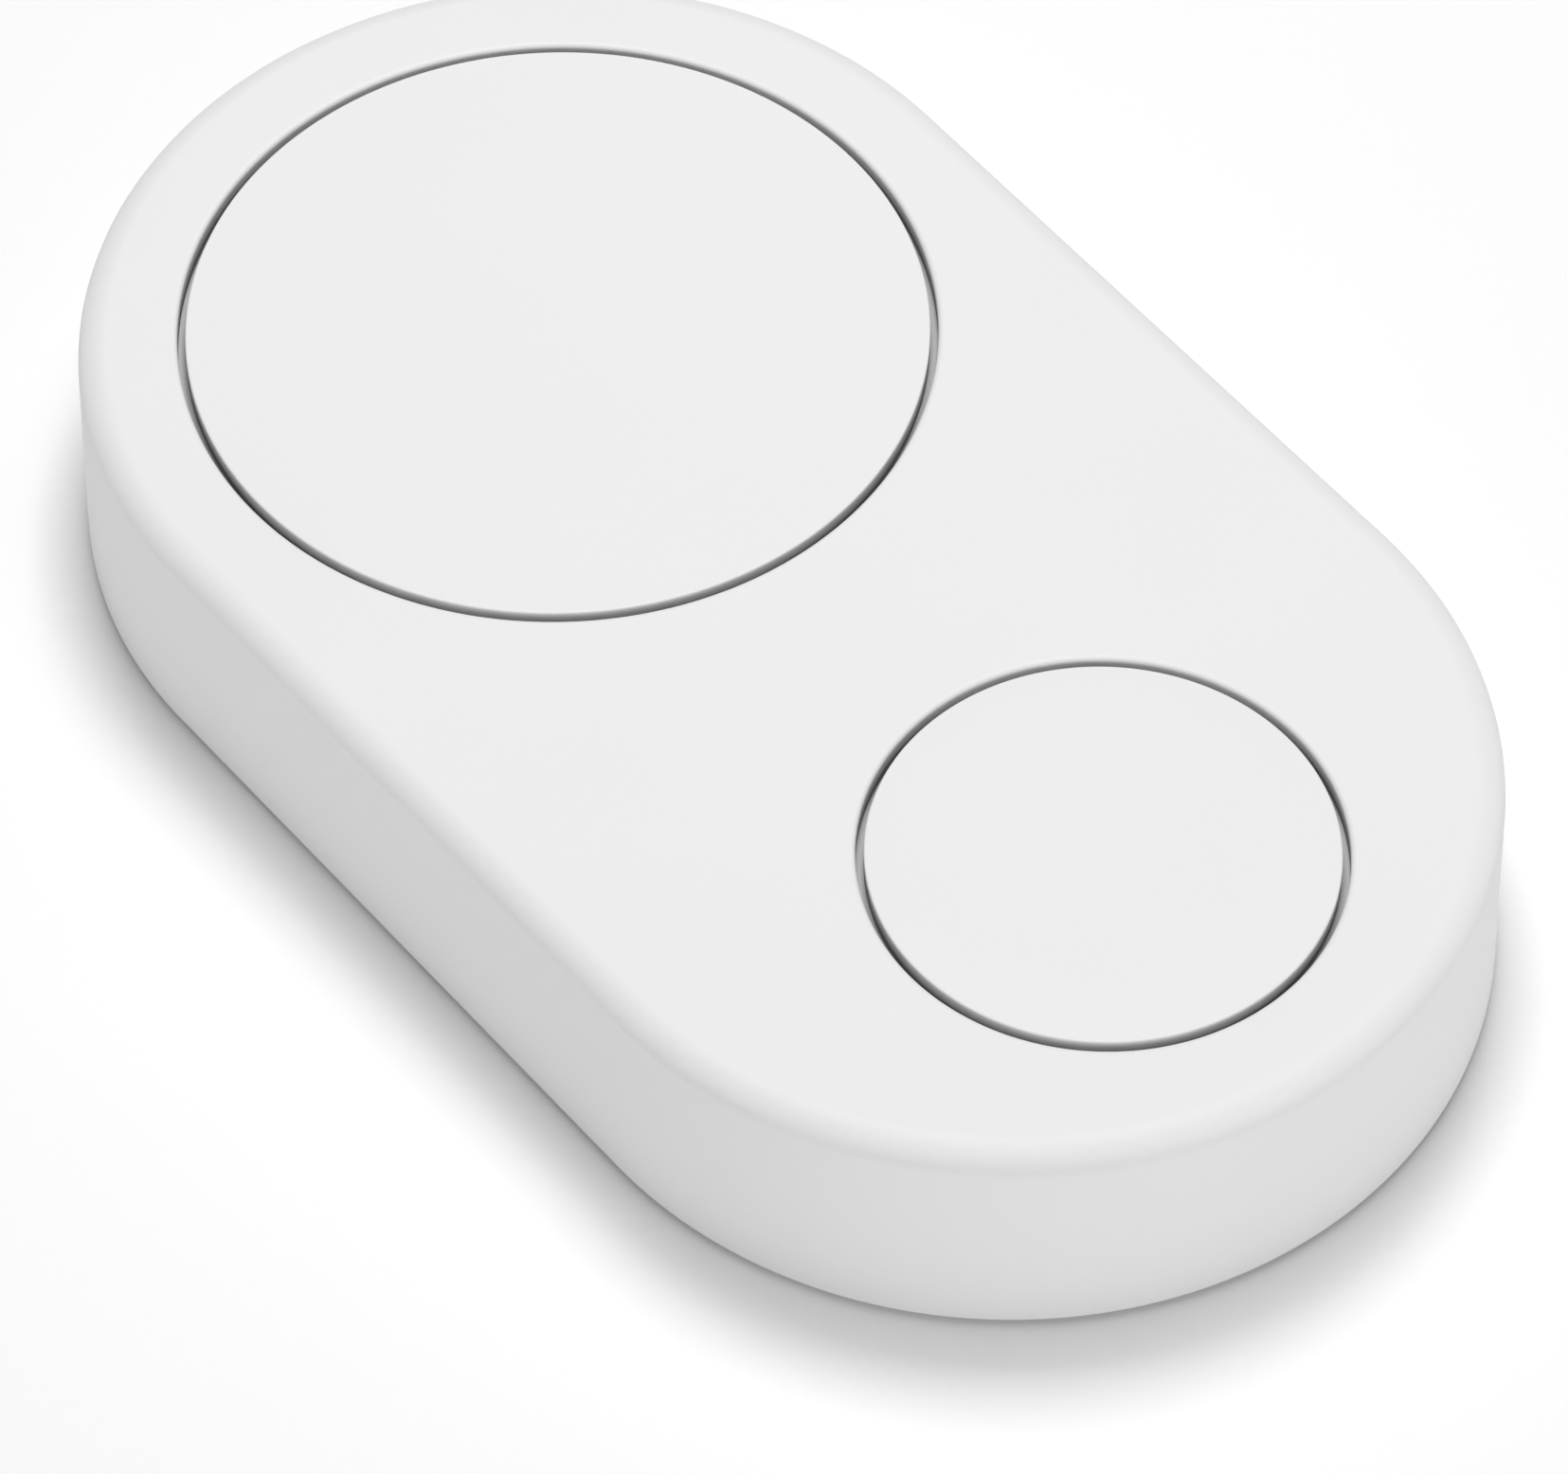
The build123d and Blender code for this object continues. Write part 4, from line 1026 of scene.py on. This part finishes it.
print("door's neck from r", round(NECK_OUTER - NECK_WALL, 2), "to", NECK_OUTER, "mm")

# %% Coin-cell door: the slot, the mark and the tabs
pick_outline(door, large.x + DOOR_MARK_REACH, 0, MARK_RADIUS, base_bottom)
push(MARK_DEPTH)
bpy.ops.mesh.edge_face_add()
pick(door, "EDGE", lambda p: abs(p.z - base_bottom) < CLOSE
     and abs(hypot(p.x - large.x, max(abs(p.y) - slot_end, 0)) - slot_mouth) < NEAR)
bpy.ops.mesh.edge_face_add()
round_in(COIN_SLOT_EDGE, ROUNDING_SMALL)
push(COIN_SLOT_DEPTH - COIN_SLOT_EDGE)
draw_out(door, large.x, NECK_OUTER, TAB_TURNS, TAB_HALF_ANGLE, TAB_LOW, NECK_TOP - SLIVER, TAB_REACH)
finish_piece(door, [door_abs])
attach(door, "battery_door")
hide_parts("battery_door")

# %% [markdown]
# ## Screws
# Four pan-head screws with a cross recess cut their own thread in the housing's bosses. The helix of a
# thread can be a spin with a rise, but in its boss nobody can follow it, so the shank carries closed
# rings at the pitch of the thread. The first screw is modelled and the others are its copies.

# %% Screws
HEAD_RADIUS = 1.3
HEAD_HEIGHT = 0.6
HEAD_EDGE_RADIUS = 0.2
SHANK_RADIUS = 0.8
THREAD_ROOT = 0.65
THREAD_PITCH = 0.55
CROSS_LENGTH = 1.5
CROSS_WIDTH = 0.38
CROSS_DEPTH = 0.35
POINT_SHARE = 0.5  # the tip's radius as a share of the shank's
head_top = seat_top
head_bottom = head_top - HEAD_HEIGHT
shank_end = head_top + SCREW_LENGTH
first_x, first_y = boss_places[0]
screw = start_piece("base_screw_0", HEAD_RADIUS, first_x, head_bottom + HEAD_EDGE_RADIUS,
                    first_y, AROUND_SMALL)
pick(screw, "FACE", lambda p: True)
push(HEAD_HEIGHT - HEAD_EDGE_RADIUS)
inset(HEAD_RADIUS - SHANK_RADIUS)
height, radius = head_top, SHANK_RADIUS
while height + THREAD_PITCH < shank_end - THREAD_PITCH / 2:
    for new in (THREAD_ROOT, SHANK_RADIUS):
        height = step_to(radius, new, THREAD_PITCH / 2, first_x, first_y, height)
        radius = new
step_to(radius, POINT_SHARE * radius, shank_end - height, first_x, first_y, height)
pick(screw, "FACE", lambda p: p.z < head_bottom + HEAD_EDGE_RADIUS + CLOSE)
round_over(HEAD_EDGE_RADIUS)
bpy.ops.mesh.delete(type="ONLY_FACE")
print("screw from", round(head_bottom, 2), "to", round(shank_end, 2), "mm")

# %% Screws: the cross recess and the copies
GRID_CELLS = 3
cell_width = CROSS_LENGTH / GRID_CELLS
bpy.ops.mesh.primitive_grid_add(
    x_subdivisions=GRID_CELLS, y_subdivisions=GRID_CELLS, size=CROSS_LENGTH * MM,
    location=(first_x * MM, first_y * MM, head_bottom * MM))


def from_axis(p):
    """How far a point of the head's face lies from the axis along X and Y, the shorter way first."""
    if abs(p.z - head_bottom) > CLOSE:
        return CROSS_LENGTH, CROSS_LENGTH  # not on that face, so out of reach
    return sorted((abs(p.x - first_x), abs(p.y - first_y)))


for axis in (0, 1):
    pick(screw, "VERT", lambda p: abs(p[axis] - boss_places[0][axis]) < cell_width
         and from_axis(p)[1] < CROSS_LENGTH / 2 + CLOSE)
    factors = [1, 1, 1]
    factors[axis] = CROSS_WIDTH / cell_width
    bpy.ops.transform.resize(value=factors, center_override=(first_x * MM, first_y * MM, head_bottom * MM))
pick(screw, "FACE", lambda p: CROSS_WIDTH / 2 < from_axis(p)[0] and from_axis(p)[1] < CROSS_LENGTH / 2)
bpy.ops.mesh.delete(type="FACE")
pick_open(screw, head_bottom)
bpy.ops.mesh.fill(use_beauty=True)
pick(screw, "FACE", lambda p: from_axis(p)[0] < CLOSE
     and from_axis(p)[1] < CROSS_LENGTH / 2 - cell_width / 5)
push(CROSS_DEPTH)
finish_piece(screw, [screw_nickel])
screws = [screw]
for number, (x, y) in enumerate(boss_places[1:], 1):
    copy = screw.copy()
    copy.data = screw.data.copy()
    copy.name = copy.data.name = f"base_screw_{number}"
    bpy.context.collection.objects.link(copy)
    copy.data.transform(Matrix.Translation(Vector((x - first_x, y - first_y, 0)) * MM))
    screws.append(copy)
for piece in screws:
    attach(piece, "housing")
    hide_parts("base_screws")
print(len(screws), "screws")

# %% [markdown]
# ## Return rings and snap domes
# Under each cap a silicone ring pushes the cap back up, and in each switch a snap dome of thin steel
# gives the click. Both give way when the cap goes down, while everything round them is rigid. A shape
# key could drive that; here each piece is modelled at rest and carried with the housing.

# %% Return rings and snap domes
RING_SPREAD = 1.2
RING_FOOT_WIDTH = 1.2
RING_HEAD_WIDTH = 0.8
RING_LIP = 0.35
DOME_SHEET = 0.08
DOME_STEPS = 6


def model_return_ring(button):
    """The soft ring: a slanted wall between a wide foot and a narrow head, open in the middle."""
    low, high = [corner.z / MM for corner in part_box(f"{button.size}_return_ring")]
    foot = button.ring_radius + RING_SPREAD
    foot_out, foot_in = foot + RING_FOOT_WIDTH / 2, foot - RING_FOOT_WIDTH / 2
    head_out, head_in = button.ring_radius + RING_HEAD_WIDTH / 2, button.ring_radius - RING_HEAD_WIDTH / 2
    ring = start_piece(f"{button.size}_silicone_return", foot_out, button.x, low)
    pick(ring, "FACE", lambda p: True)
    push(RING_LIP)
    push(high - low - 2 * RING_LIP)
    resize_to(foot_out, head_out, button.x, 0, high - RING_LIP)
    push(RING_LIP)
    inset(RING_HEAD_WIDTH)
    push(-RING_LIP)
    push(2 * RING_LIP - high + low)
    resize_to(head_in, foot_in, button.x, 0, low + RING_LIP)
    push(-RING_LIP)
    bpy.ops.mesh.delete(type="ONLY_FACE")
    pick(ring, "FACE", lambda p: abs(p.z - low) < CLOSE and hypot(p.x - button.x, p.y) < MIDDLE)
    inset(RING_FOOT_WIDTH)
    bpy.ops.mesh.delete(type="ONLY_FACE")
    finish_piece(ring, [return_silicone])
    return ring, "return_ring", "return_silicone", low, high


def model_dome(button):
    """The snap dome: a shallow cap of thin sheet, curved on both faces."""
    lowest, highest = [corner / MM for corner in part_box(f"{button.size}_switch_dome")]
    low, high = lowest.z, highest.z
    radius = (highest.y - lowest.y) / 2
    crown = high - low - DOME_SHEET
    sphere = (radius**2 + crown**2) / (2 * crown)
    dome = start_piece(f"{button.size}_snap_dome", radius, button.x, low)
    pick(dome, "FACE", lambda p: True)
    push(DOME_SHEET)
    for height in (low + DOME_SHEET, low):
        pick(dome, "FACE", lambda p: abs(p.z - height) < CLOSE and hypot(p.x - button.x, p.y) < NEAR)
        rise, old = 0, radius
        for k in range(1, DOME_STEPS):
            new = radius * (1 - k / DOME_STEPS)
            reached = (sphere**2 - new**2) ** 0.5 - sphere + crown
            inset(old - new)
            bpy.ops.transform.translate(value=(0, 0, (reached - rise) * MM))
            rise, old = reached, new
    finish_piece(dome, [switch_steel])
    return dome, "switch_dome", "switch_steel", low, high


for button in (large, small):
    for piece, node, slot, low, high in (model_return_ring(button), model_dome(button)):
        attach(piece, "housing")
        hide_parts(f"{button.size}_{node}")
        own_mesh(piece)

# %% [markdown]
# ## Floor and background
# The button lies on a white sweep that melts into a white background, and only a soft shadow shows where
# the floor is. The floor is plain paper for all the light that bounces off it; where the camera, a mirror
# or glass looks at it, it is pure white, which keeps the shadow and loses the grey of the paper.

# %% Floor
FLOOR_SIZE = 3.0
bpy.ops.object.select_all(action="DESELECT")
bpy.ops.mesh.primitive_plane_add(size=FLOOR_SIZE)
floor = bpy.context.object
floor.name = "floor_sweep"
material, tree = new_material("white_sweep_paper")  # to the eye: no floor at all, only the shadow on it
paper = add(tree, "ShaderNodeBsdfDiffuse", {"Color": linear("EEEEEE")})
bright = add(tree, "ShaderNodeBsdfDiffuse", {"Color": (1, 1, 1, 1)})
path = add(tree, "ShaderNodeLightPath")
shown = path.outputs["Is Camera Ray"]
for ray in ("Is Glossy Ray", "Is Transmission Ray"):
    seen = add(tree, "ShaderNodeMath", links={0: shown, 1: path.outputs[ray]}, operation="MAXIMUM")
    shown = seen.outputs[0]
mixed = add(tree, "ShaderNodeMixShader", links={0: shown, 1: paper.outputs[0], 2: bright.outputs[0]})
add(tree, "ShaderNodeOutputMaterial", links={"Surface": mixed.outputs[0]})
floor.data.materials.append(material)
print("floor", FLOOR_SIZE, "m across")

# %% [markdown]
# ## Lamps
# One large soft light hangs nearly overhead, a little behind the button, which is why the top is bright,
# the shadow falls towards the camera and the gaps are dark. Low fills from the front light the side wall
# without lighting the top. Sun lamps would be simpler but cast hard shadows; area lamps are softboxes.

# %% Lamps
LAMP_DISTANCE = 0.3
WORLD_STRENGTH = 0.27


def softbox(name, turn, height, width, share):
    """A square lamp aimed at the button: turn 0 is away from the camera, 90 to its right."""
    level = picture_away * cos(radians(turn)) + picture_right * sin(radians(turn))
    toward = level * cos(radians(height)) + Vector((0, 0, 1)) * sin(radians(height))
    bpy.ops.object.light_add(type="AREA", location=toward * LAMP_DISTANCE)
    lamp = bpy.context.object
    lamp.name = name
    lamp.rotation_euler = toward.to_track_quat("Z", "Y").to_euler()
    lamp.data.shape = "SQUARE"
    lamp.data.size = width
    lamp.data.energy = share * pi * LAMP_DISTANCE**2
    print(name, round(lamp.data.energy, 3), "W")


softbox("key_softbox", 0, 74, 0.10, 1.492)
softbox("overhead_softbox", 0, 90, 0.10, 0.327)
softbox("side_softbox", 45, 74, 0.10, 0.298)
softbox("right_fill", 135, 8, 0.16, 1.166)
softbox("left_fill", 225, 8, 0.16, 0.803)
world = bpy.data.worlds.new("studio_air")
bpy.context.scene.world = world
world.use_nodes = True
air = world.node_tree.nodes["Background"]
air.inputs["Color"].default_value = (1, 1, 1, 1)
air.inputs["Strength"].default_value = WORLD_STRENGTH

# %% [markdown]
# ## Finish
# The view transform is Standard, so that a colour comes out as it is written.

# %% Finish
bpy.context.scene.view_settings.view_transform = "Standard"
